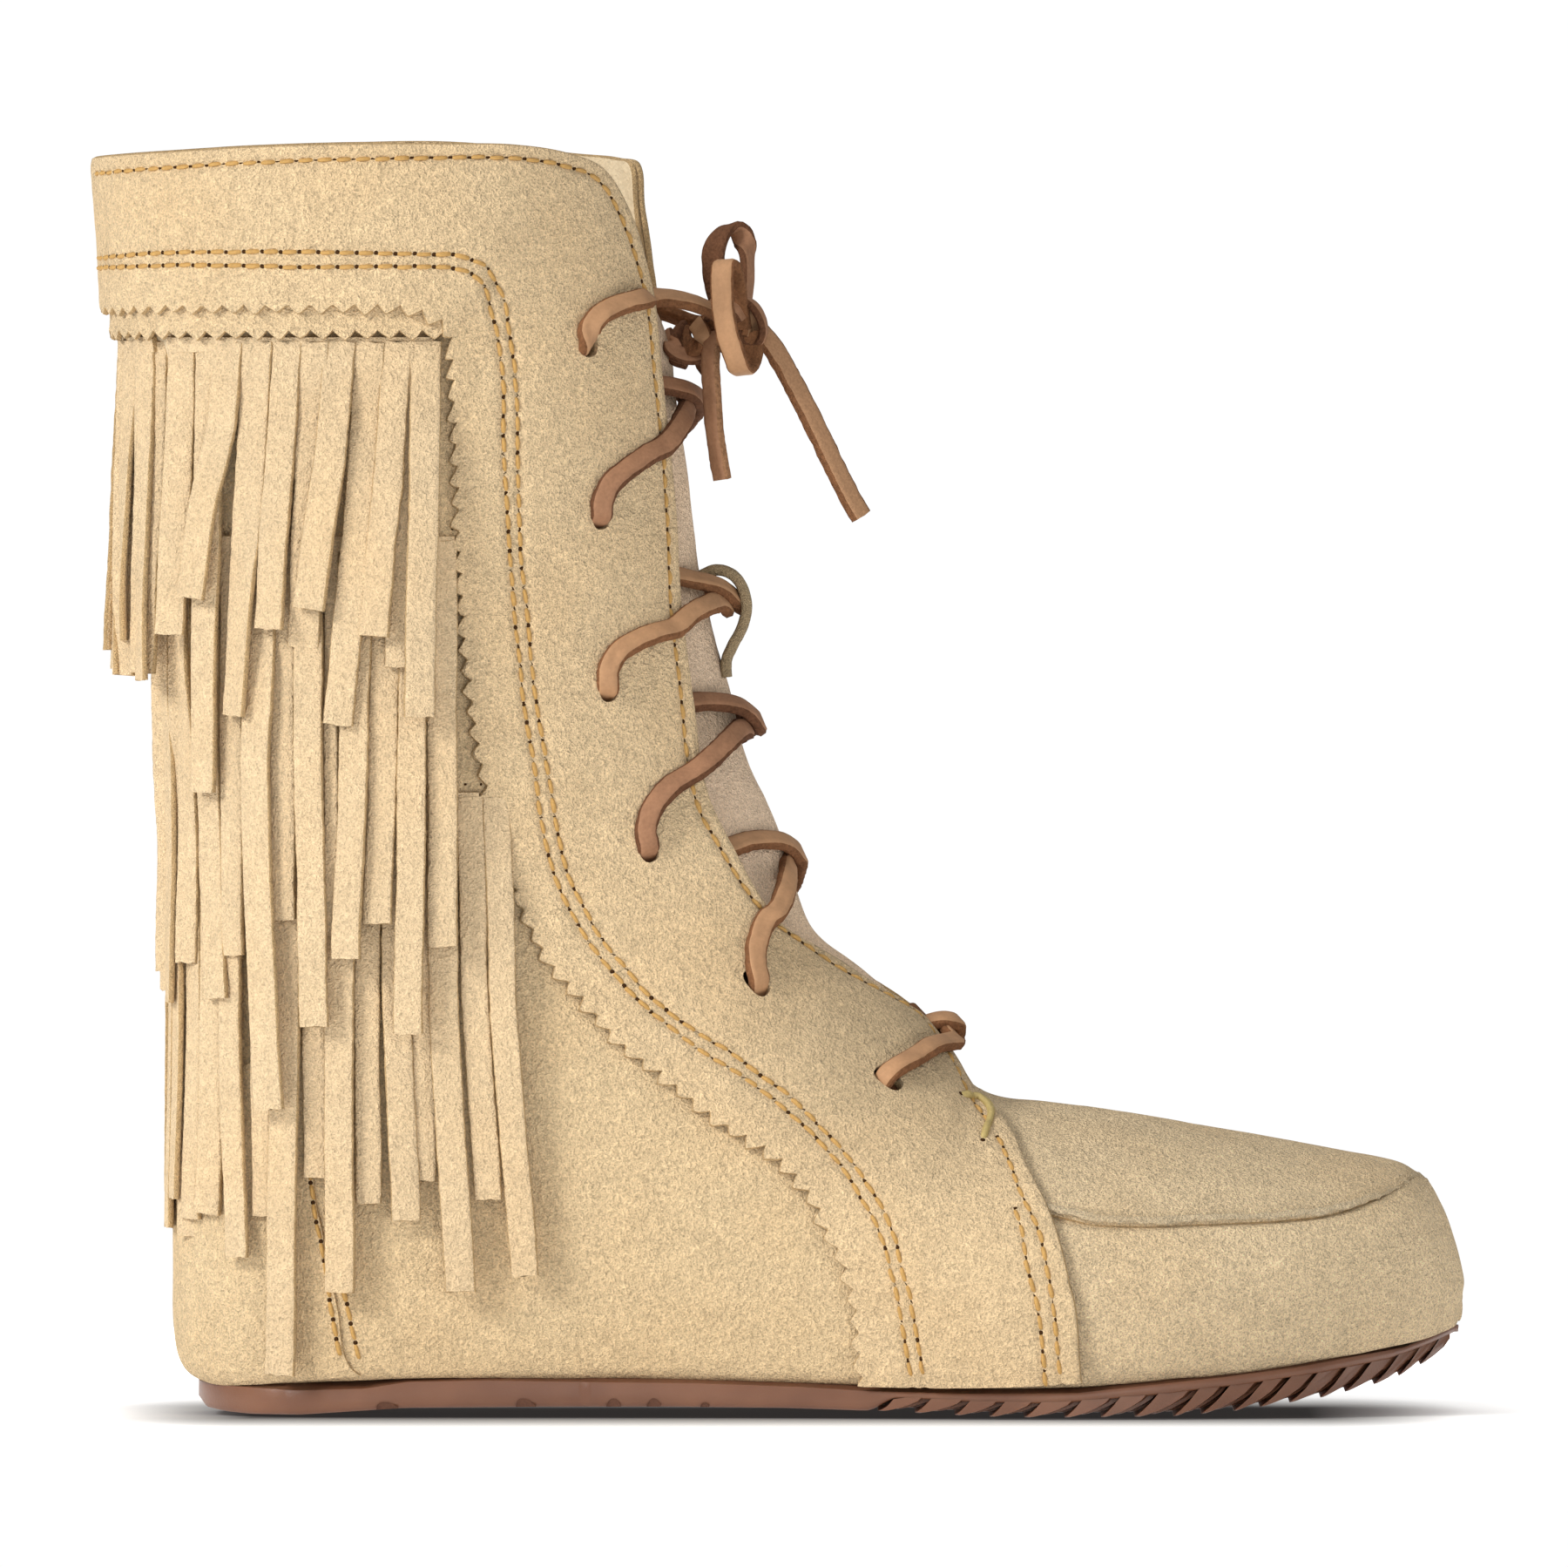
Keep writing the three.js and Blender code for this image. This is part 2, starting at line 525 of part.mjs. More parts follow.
// lower rows follow these sections
const QUARTER_ALONG = [16.8, 16.2, 15.6, 15.0, 14.4, 13.8, 13.3, 12.9, 12.6];

// share: how far the piece reaches under the panel; the last two values are
// around at the back or sole end of the shaft rows and of the lower rows
function quarterGrid({ share, top, startRow, columns, shaftAround, soleAround }) {
  const endRow = rowAtAlong(FAN_BACK.at(-1), share);
  const fan = [top, ...FAN_BACK].map((back, i) => {
    const row = lerp(startRow, endRow, Math.pow(i / FAN_BACK.length, 0.9));
    return [panelPoint(row, share), back];
  });
  const lower = QUARTER_ALONG.map((along) => {
    const around = panelPoint(rowAtAlong(along, share), share)[1];
    return [[along, Math.min(around, 1.7)], along];
  });
  return [...fan, ...lower].map(([front, back]) => {
    const end = [back, back > 20.6 ? shaftAround : soleAround];
    return steps(columns, (part) => mix(front, end, part));
  });
}
function addRearQuarters() {
  const grid = quarterGrid({
    share: 0.17, top: backAlong(222), startRow: 6, columns: 9,
    shaftAround: 1.99, soleAround: 1.97,
  });
  for (const [side, name] of SIDES) {
    add(`rear_quarter_${name}`, sheet(mirrored(grid, side), -SUEDE_T, 0), 'suede');
  }
}
// heel panel: one piece around the back, over the quarters; the counter lies inside them
function addHeel() {
  const backs = [...[78, 64, 50, 36, 22].map(backAlong), 20.9];
  const grid = locateAll(HEEL_SEAM).map(([along, around], r) => {
    const half = steps(6, (share) => mix([along, Math.min(around, 1.93)], [backs[r], 2], share));
    return [...mirrored([half], -1)[0], ...half.slice(0, -1).reverse()];
  });
  // raise the lowest row off the sole
  grid[5] = grid[5].map((place, c) => mix(place, grid[4][c], 0.12));
  add('heel_panel', sheet(grid, 1.05, 1.95), 'suede');
  const counter = grid.slice(1, 5).map((row) => row.slice(1, -1));
  add('heel_counter', sheet(counter, -2.5, -1.8), 'board');
}
// one lining per side, from the back seam to behind the facing, and one under the vamp
function addLinings() {
  const grid = quarterGrid({
    share: 0.3, top: backAlong(238), startRow: 5, columns: 7,
    shaftAround: 1.985, soleAround: 1.9,
  });
  for (const [side, name] of SIDES) {
    add(`lining_${name}`, sheet(mirrored(grid, side), -4.0, -3.1), 'lining');
  }
  const vamp = [3.5, 4.0, 4.6, 5.6, 7, 8.6, 10.8].map((along) => centredRow(along, 1.88, 7));
  add('vamp_lining', sheet(vamp, -3.5, -2.5), 'lining');
}

// ------------------------------------------------------------------ the toe
const SEAM_FRONT = 4.05;      // along where the toe seam crosses the front line
const SEAM_GAP = 0.008;       // each piece's clearance from the seam, in around
const toeSeam = locateAll(TOE_SEAM).reverse();
function seamAround(along) {
  if (along <= SEAM_FRONT) return 0;
  const [start, around] = toeSeam[0];
  if (along <= start) return around * Math.sqrt((along - SEAM_FRONT) / (start - SEAM_FRONT));
  return interpolate(toeSeam, along);
}
function addToePlug() {
  const alongs = [4.12, 4.3, 4.6, 5.1, 5.8, 6.6, 7.5, 8.5, 9.5, 10.4, 11.0, VAMP_END];
  const grid = alongs.map((along) => (
    centredRow(along, Math.max(seamAround(along) - SEAM_GAP, 0.02), 5)));
  add('toe_plug', sheet(grid, -SUEDE_T, 0), 'suede');
}
// from the seam round the toe down to the sole, lateral side to medial side
function addToeWall() {
  const half = [VAMP_END, 10.6, 9, 8, 7, 6.2, 5.5, 5.0, 4.6, 4.3, 4.1]
    .map((along) => [along, -seamAround(along) - SEAM_GAP]);
  const middle = half.length;
  const path = [...half, [3.95, 0], ...mirrored([half], -1)[0].reverse()];
  const grid = path.map((place, i) => {
    const along = VAMP_END * Math.pow(Math.abs(i - middle) / middle, 1.35);
    // the middle row stays on the front line
    const foot = [along, 2 * Math.sign(i - middle)];
    return steps(6, (share) => mix(place, foot, share));
  });
  const tip = 0.15;
  const face = (offset) => {
    const points = grid.map((row) => row.map(([along, around]) => (
      offsetPoint(Math.max(along, tip), around, offset))));
    // the middle row ends between the two sides of the sole line at the toe tip
    points[middle][6] = offsetPoint(tip, 2, offset).lerp(offsetPoint(tip, -2, offset), 0.5);
    return points;
  };
  add('toe_wall', slab(face(0), face(-SUEDE_T)), 'suede');
}

// ------------------------------------------------------------------- tongue
const TONGUE_ALONG = [
  11.6, 12.2, 12.9, 13.7, 14.6, 15.5, 16.5, 18, 20, 22.5, 25, 27.5, 29, 30.2, 31,
];
const TONGUE_SHARE = 0.56;    // its side edges lie this far across the panels
// the outer face fills the gap between the facings and dives under them
function tongueLift(along, around) {
  const share = Math.min(Math.abs(around) / facingEdge(along), 1);
  return lerp(-3.8, -1.15, Math.cos(share * Math.PI / 2) ** 2)
    - 9 * smooth(27.6, 30.8, along) * (1 - 0.7 * share);
}
function tongueHalf(along) {
  if (along < 13) return 0.5;
  return Math.min(panelPoint(rowAtAlong(along, TONGUE_SHARE), TONGUE_SHARE)[1], 0.9);
}
function addTongue() {
  const grid = TONGUE_ALONG.map((along) => centredRow(along, tongueHalf(along), 5));
  const outer = (r, c, along, around) => tongueLift(along, around);
  add('tongue', sheet(grid, (...place) => outer(...place) - SUEDE_T, outer), 'tongue_suede');
}

// ------------------------------------------------------------- header strip
// band under the collar's lower edge, around the back of the shaft
function addHeaderStrip() {
  const frontAround = locate(31.5, 221)[1];
  const grid = [222.2, 217.9].map((z) => steps(22, (share) => {
    const turn = lerp(-1, 1, share);
    const around = lerp(2, frontAround, Math.abs(turn));
    return [alongAtHeight(around, z), turn < 0 ? -around : around];
  }));
  add('pinked_header_strip', sheet(grid, 2.05, 3.1), 'suede');
}

// --------------------------------------------------------------------- sole
const OUTSOLE = { startX: -18.0, endX: 237.4, inset: 0, bevel: 0.5 };
const OUTSOLE_REAR_X = [
  -18.0, -17.4, -16.2, -14.2, -11.5, -7, 0, 8, 16, 26, 38, 50, 62, 74, 86, 98, 108, 116, 122,
];
const TREAD_PITCH = 7.4;
// inner layers; low and high are heights over the upper's lower edge
const INNER_SOLES = [
  { name: 'sole_filler', startX: -6, endX: 222, inset: 12.5, low: -1.1, high: 2.6,
    material: 'foam' },
  { name: 'insole_board', startX: -12, endX: 228, inset: 8.0, low: 4.4, high: 4.4 + BOARD_T,
    material: 'board' },
  { name: 'footbed', startX: -12.5, endX: 228, inset: 8.0, low: 6.2, high: 6.2 + FOOTBED_T,
    material: 'foam' },
];
const rounded = (share) => Math.sqrt(Math.max(0, 1 - (1 - Math.min(share, 1)) ** 2));
// half width, centre y and upper's edge height at x; closes in a round end at both ends
function soleSection(x, { startX, endX, inset }) {
  const reached = clamp(x, -19.5, 236.5);
  const cut = section(bisect(0.02, 20.9, 40, (along) => section(along).backX > reached));
  let half = cut.backHalf + (cut.half - cut.backHalf) * 0.55 - inset;
  if (x < 20) half = Math.max(half, 30.5 - inset);
  if (x < 60) half = Math.min(half, 31 - inset + smooth(0, 60, x) * 3);
  const heel = rounded((x - startX) / (27.5 - inset));
  const toe = Math.pow(rounded((endX - x) / 30), 0.8);
  return { half: Math.max(half * heel * toe, 1.3), y: cut.y, z: cut.backZ };
}
// stations: [x of the top, x of the bottom, z of the bottom]; topZ and bottomZ get
// the upper's edge height and, for bottomZ, the station's bottom z
function soleLoft(stations, shape, topZ, bottomZ) {
  const { bevel } = shape;
  return loft(stations.map(([x, lowX, lowZ]) => {
    const { half, y, z } = soleSection(x, shape);
    const top = topZ(z);
    const bottom = bottomZ(z, lowZ);
    const midX = (x + lowX) / 2;
    const midZ = (top + bottom) / 2;
    return [
      vec(x, y - half, top), vec(x, y + half, top),
      vec(midX, y + half + bevel, midZ), vec(lowX, y + half - bevel, bottom),
      vec(lowX, y - half + bevel, bottom), vec(midX, y - half - bevel, midZ),
    ];
  }));
}
function addOutsole() {
  const stations = OUTSOLE_REAR_X.map((x) => [x, x, interpolate(SOLE_BOTTOM, x)]);
  // saw-tooth tread: tips on the ground line, which springs up towards the toe
  const ground = (x) => (x < 178 ? 0 : 0.003224 * (x - 178) ** 2);
  for (let x = 125; x < 225; x += TREAD_PITCH) {
    const fade = smooth(195, 231, x);
    stations.push(
      [x, x + 0.2, ground(x) + 3.0 - 1.1 * fade],
      [x + 1.1, x + 0.5, ground(x)],
      [x + 4.4, x + 4.4, ground(x + 4.4)],
      [x + 6.6, x + 6.9, ground(x + 6.6) + 2.2 - 0.8 * fade],
    );
  }
  for (const x of [230.5, 233.5, 235.4, 236.6, 237.2]) {
    stations.push([x, x, ground(x) + Math.max(x - 231, 0) * 0.3]);
  }
  const topZ = (edgeZ) => Math.max(edgeZ - 1.5, 3.6);
  const bottomZ = (edgeZ, lowZ) => Math.min(lowZ, topZ(edgeZ) - 1.0);
  add('outsole', soleLoft(stations, OUTSOLE, topZ, bottomZ), 'rubber');
}
function addInnerSoles() {
  for (const { name, startX, endX, inset, low, high, material } of INNER_SOLES) {
    const stations = steps(18, (share) => {
      const x = lerp(startX, endX, 0.5 - 0.5 * Math.cos(share * Math.PI));
      return [x, x];
    });
    const shape = { startX, endX, inset, bevel: 0 };
    add(name, soleLoft(stations, shape, (z) => z + high, (z) => z + low), material);
  }
}

// ------------------------------------------------------------------- fringe
const BACK_AROUND = 1.66;     // the back group spans |around| from here to 2
const BAND_GAP = 0.03;        // half the gap between side and back bands, in around
const ROOT_DROP = 1.2;        // strips start this far below the header's top
const ROOT_OFFSET = 0.5;      // inner face of the strips at the header
const HANG_LEAN = 0.06;       // how far a strip may lean in per mm of drop
const STRIP_SHARES = [0.14, 0.55, 1];
// standoff is the strips' inner face offset at height z; backDrops are strip lengths
const TIERS = {
  upper: {
    header: HEADER_UPPER, frontX: 29.8, strips: STRIPS_UPPER,
    backDrops: [72, 66, 70, 67, 71, 64, 73],
    standoff: (z) => lerp(
      lerp(ROOT_OFFSET, 2.5, smooth(HEADER_UPPER - 4, HEADER_MIDDLE + 8, z)),
      4.6, smooth(HEADER_MIDDLE, HEADER_LOWER + 6, z)),
  },
  middle: {
    header: HEADER_MIDDLE, frontX: 34.0, strips: STRIPS_MIDDLE,
    backDrops: [88, 92, 86, 91, 87, 93, 85],
    standoff: (z) => lerp(
      lerp(ROOT_OFFSET, 2.5, smooth(HEADER_MIDDLE - 4, HEADER_LOWER + 8, z)),
      4.9, smooth(HEADER_LOWER, HEADER_LOWER - 30, z)),
  },
  lower: {
    header: HEADER_LOWER, frontX: 38.8, strips: STRIPS_LOWER,
    backDrops: [82, 86, 80, 84, 87, 81, 85],
    standoff: (z) => lerp(ROOT_OFFSET, 3.1, smooth(HEADER_LOWER - 2, HEADER_LOWER - 30, z)),
  },
};
function headerBand(header, from, to, count, offset) {
  const grid = [header, header - HEADER_H].map((z) => steps(count, (share) => {
    const around = wrapAround(lerp(from, to, share));
    return [alongAtHeight(Math.abs(around), z), around];
  }));
  return toManifold(sheet(grid, offset, offset + FRINGE_T));
}
function stripRoot(along, around) {
  const outDir = normal(along, around);
  return {
    top: offsetPoint(along, around, ROOT_OFFSET + FRINGE_T / 2),
    outDir,
    tangent: vec().crossVectors(outDir, vec(0, 0, 1)).normalize(),
  };
}
function sideStrip([topX, tipX, tipZ, width], [along, around], side, { header, standoff }) {
  const topZ = header - ROOT_DROP;
  const { top, tangent } = stripRoot(along, side * around);
  const path = STRIP_SHARES.map((share) => {
    const z = lerp(topZ, tipZ, share);
    const x = lerp(topX, tipX, share);
    const rearX = surface(alongAtHeight(1.9, Math.max(z, 12)), 1.9).x;
    const [alongHere, aroundHere] = locate(Math.max(x, rearX), z);
    const base = offsetPoint(alongHere, side * aroundHere, standoff(z) + FRINGE_T / 2);
    const hang = Math.abs(top.y) - HANG_LEAN * (topZ - z);
    const y = side * Math.max(Math.abs(base.y), hang, 0.3);
    return vec(Math.abs(base.x - x) < 4 ? base.x : x, y, z);
  });
  return strap([top, ...path], (i) => width * (i === 0 ? 1 : 0.93), FRINGE_T, tangent);
}
function backStrip(around, drop, { header, standoff }) {
  const topZ = header - ROOT_DROP;
  const turn = Math.abs(around);
  const { top, outDir, tangent } = stripRoot(alongAtHeight(turn, topZ), around);
  const level = vec(outDir.x, outDir.y, 0).normalize();
  const path = STRIP_SHARES.map((share) => {
    const z = topZ - drop * share;
    const along = alongAtHeight(turn, Math.max(z, 14));
    const base = offsetPoint(along, around, standoff(z) + FRINGE_T / 2);
    const hanging = top.clone().setZ(z).addScaledVector(level, -HANG_LEAN * (topZ - z));
    // whichever stands further out
    return base.dot(level) > hanging.dot(level) ? base.setZ(z) : hanging;
  });
  return strap([top, ...path], (i) => (i === 0 ? 5.4 : 5.0), FRINGE_T, tangent);
}
function addFringe(name, tier) {
  const { header, frontX, strips, backDrops } = tier;
  const frontAround = locate(frontX, header)[1];
  for (const [side, sideName] of SIDES) {
    const bandEnd = side * (BACK_AROUND - BAND_GAP);
    let solid = headerBand(header, side * frontAround, bandEnd, 7, ROOT_OFFSET);
    for (const strip of strips) {
      const root = locate(strip[0], header - ROOT_DROP);
      // strips further back belong to the back group
      if (root[1] > BACK_AROUND - 0.12) continue;
      solid = solid.add(toManifold(sideStrip(strip, root, side, tier)));
    }
    add(`fringe_${name}_${sideName}`, fromManifold(solid), 'suede_fringe');
  }
  const start = BACK_AROUND + BAND_GAP;
  let solid = headerBand(header, start, 4 - start, 6, 0.75);
  const first = BACK_AROUND + 0.075;
  backDrops.forEach((drop, i) => {
    const around = wrapAround(lerp(first, 4 - first, i / (backDrops.length - 1)));
    solid = solid.add(toManifold(backStrip(around, drop, tier)));
  });
  add(`fringe_${name}_back`, fromManifold(solid), 'suede_fringe');
}

// -------------------------------------------------------------------- laces
const LACE_OVER = SUEDE_T + PANEL_OFFSET + 0.6 + LACE_T / 2;  // offset over the panels
const LACE_UNDER = -1.0 - 0.62 - LACE_T / 2;                  // offset under the facings
const TOP_SLOT_LIFT = 1.5;    // the top slots lie in the raised collar
const SLOT_RUN = 4.2;         // length of lace laid flat beside a slot
const EDGE_STEP = 0.22;       // along from a slot's level to where a crossing meets the edge
const KNOT_GAP = 1.3;         // from the knot's surface to the lace's end
const LAST_SLOT = slotPlaces.length - 1;

// around moved by a length in mm
function shiftAround(along, around, length) {
  const chord = surface(along, around + 0.02).sub(surface(along, around - 0.02)).length();
  return around + length / (chord / 0.04);
}
// lace paths are lists of [along, around, offset]
function through(slot, side) {
  const [along, around] = slotPlaces[slot];
  const lift = slot === LAST_SLOT ? TOP_SLOT_LIFT : 0;
  return [
    [-SLOT_RUN, LACE_UNDER], [-1.7, LACE_UNDER], [-0.3, LACE_UNDER + 0.45],
    [0.1, 0.35 + lift / 2],
    [-0.3, LACE_OVER - 0.4 + lift], [-1.7, LACE_OVER + lift], [-SLOT_RUN, LACE_OVER + lift],
  ].map(([length, offset]) => [along, side * shiftAround(along, around, length), offset]);
}
// the place beside a slot, towards the gap, where its flat run ends
function besideSlot(slot) {
  const [along, around] = slotPlaces[slot];
  return [along, shiftAround(along, around, -SLOT_RUN)];
}
function between(start, end, side, offset) {
  return [0.33, 0.67].map((share) => {
    const [along, around] = mix(start, end, share);
    return [along, side * around, offset];
  });
}
// over the edge on one side, across the gap and under the other edge
function crossing(slot, side) {
  const startAlong = slotPlaces[slot][0] + EDGE_STEP;
  const endAlong = slotPlaces[slot + 1][0] - EDGE_STEP;
  const middle = slot % 2 === 1 ? 3.6 : 1.15;
  const gap = steps(5, (share) => {
    const along = lerp(startAlong, endAlong, share);
    const edge = side * facingEdge(along);
    const bulge = Math.sin(share * Math.PI);
    const offset = share < 0.5
      ? lerp(LACE_OVER, middle, bulge ** 1.5) : lerp(LACE_UNDER, middle, bulge ** 0.9);
    return [along, lerp(edge, -edge, share), offset];
  });
  const start = [startAlong, facingEdge(startAlong)];
  const end = [endAlong, facingEdge(endAlong)];
  return [
    ...between(besideSlot(slot), start, side, LACE_OVER),
    ...gap,
    ...between(end, besideSlot(slot + 1), -side, LACE_UNDER),
  ];
}
const laid = (path) => path.map(([along, around, offset]) => (
  { point: offsetPoint(along, around, offset), across: upDirection(along, around) }));
function toKnot(side) {
  const along = slotPlaces[LAST_SLOT][0];
  const edge = side * facingEdge(along + 0.3);
  const start = offsetPoint(along + 0.25, edge, LACE_OVER + TOP_SLOT_LIFT);
  const end = vec(...KNOT_CENTRE).add(vec(-KNOT_RADII[0] - KNOT_GAP, side * 2.6, 0));
  const points = [
    start,
    start.clone().lerp(end, 0.35).add(vec(1.5, side * 1.2, 1.5)),
    start.clone().lerp(end, 0.7).add(vec(1.2, side * 0.8, 1.2)),
    end,
  ];
  const across = upDirection(along, 0.1);
  return points.map((point) => ({ point, across }));
}
// one arm of the lace, from its lowest slot up to the knot
function laceArm(startSide) {
  const path = through(0, startSide);
  let side = startSide;
  for (let slot = 0; slot < LAST_SLOT; slot++) {
    path.push(...crossing(slot, side));
    side = -side;
    path.push(...through(slot + 1, side));
  }
  return [...laid(path), ...toKnot(side)];
}
// between the lowest slots: under the facings, over the tongue, lateral to medial
function laceBar() {
  const along = slotPlaces[0][0] - 0.3;
  const edge = facingEdge(along);
  const start = between(besideSlot(0), [along, edge], -1, LACE_UNDER);
  const middle = steps(6, (share) => {
    const offset = lerp(LACE_UNDER, 0.3, Math.sin(Math.PI * share) ** 1.2);
    return [along, lerp(-edge, edge, share), offset];
  });
  const end = start.map(([place, around, offset]) => [place, -around, offset]).reverse();
  return laid([...start, ...middle, ...end]);
}
// one lace: both arms criss-cross up the facings from the bar and end at the knot
function addLace() {
  const path = [...laceArm(-1).reverse(), ...laceBar(), ...laceArm(1)];
  const points = path.map(({ point }) => point);
  add('lace', strap(points, LACE_W, LACE_T, (i) => path[i].across), 'lace');
}
function addKnot() {
  const knot = new THREE.SphereGeometry(1, 10, 7);
  knot.scale(...KNOT_RADII);
  knot.translate(...KNOT_CENTRE);
  knot.deleteAttribute('normal');
  knot.deleteAttribute('uv');
  add('lace_knot', mergeVertices(knot, 1e-3), 'lace');
}
function addBowPart(name, centreLine, across, width) {
  const points = centreLine.map((point) => vec(...point));
  const curve = new THREE.CatmullRomCurve3(points, false, 'centripetal');
  add(name, strap(curve.getPoints(points.length * 2), width, LACE_T, across), 'lace');
}
// strap loop on the tongue around the laces: [mm up the boot, offset]
const KEEPER = [
  [-12, 0.1], [-9.6, 0.2], [-7.6, 3.0], [-6.0, 5.6], [0, 6.3],
  [6.0, 5.6], [7.6, 3.0], [9.6, 0.2], [12, 0.1],
];
function addLaceKeeper() {
  const centre = (slotPlaces[3][0] + slotPlaces[4][0]) / 2;
  const alongPerMm = 1 / surface(centre + 0.5, 0).sub(surface(centre - 0.5, 0)).length();
  const path = KEEPER.map(([up, offset]) => offsetPoint(centre + up * alongPerMm, 0, offset));
  add('tongue_lace_keeper', strap(path, 8, 1.0, vec(0, 1, 0)), 'thread');
}
// thread that ties the corner of the front panel to the vamp
function addBarTacks() {
  for (const [side, name] of SIDES) {
    const path = locateAll(BAR_TACK)
      .map(([along, around]) => offsetPoint(along, side * around, 4.0));
    add(`bar_tack_thread_${name}`, strap(path, 1.1, 0.7, normal(12, side * 0.5)), 'thread');
  }
}

// ----------------------------------------------------------------- assembly
addFrontPanels();
addRearQuarters();
addHeel();
addToePlug();
addToeWall();
addLinings();
addTongue();
addHeaderStrip();
addOutsole();
addInnerSoles();
for (const [name, tier] of Object.entries(TIERS)) addFringe(name, tier);
addLace();
addKnot();
addBowPart('bow_loop_front', BOW_FRONT, vec(0, 1, 0), LACE_W);
addBowPart('bow_loop_back', BOW_BACK, vec(0, 1, 0), LACE_W);
addBowPart('lace_end_short', END_SHORT, vec(1, 0, 0.15), 5.2);
addBowPart('lace_end_long', END_LONG, vec(0.75, 0, 0.5), 5.0);
addLaceKeeper();
addBarTacks();

export default group;
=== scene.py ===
import math
from itertools import product

import bpy
import numpy as np
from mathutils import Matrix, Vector
from mathutils.bvhtree import BVHTree
from mathutils.kdtree import KDTree


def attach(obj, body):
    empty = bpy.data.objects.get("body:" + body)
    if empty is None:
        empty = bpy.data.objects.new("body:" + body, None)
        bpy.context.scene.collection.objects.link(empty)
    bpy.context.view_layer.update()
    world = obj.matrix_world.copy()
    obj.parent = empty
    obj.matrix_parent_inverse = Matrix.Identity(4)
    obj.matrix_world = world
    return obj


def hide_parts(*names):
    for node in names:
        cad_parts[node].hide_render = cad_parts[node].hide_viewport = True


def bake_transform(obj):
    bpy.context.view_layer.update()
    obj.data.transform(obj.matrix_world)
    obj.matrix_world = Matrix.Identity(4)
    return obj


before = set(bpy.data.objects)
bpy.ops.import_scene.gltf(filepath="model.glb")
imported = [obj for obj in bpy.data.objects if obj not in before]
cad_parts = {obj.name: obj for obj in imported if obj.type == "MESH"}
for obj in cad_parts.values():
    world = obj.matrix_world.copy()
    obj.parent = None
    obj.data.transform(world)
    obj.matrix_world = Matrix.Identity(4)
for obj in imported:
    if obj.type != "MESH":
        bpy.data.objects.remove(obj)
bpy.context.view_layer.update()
SIDES = ((-1, "lateral"), (1, "medial"))

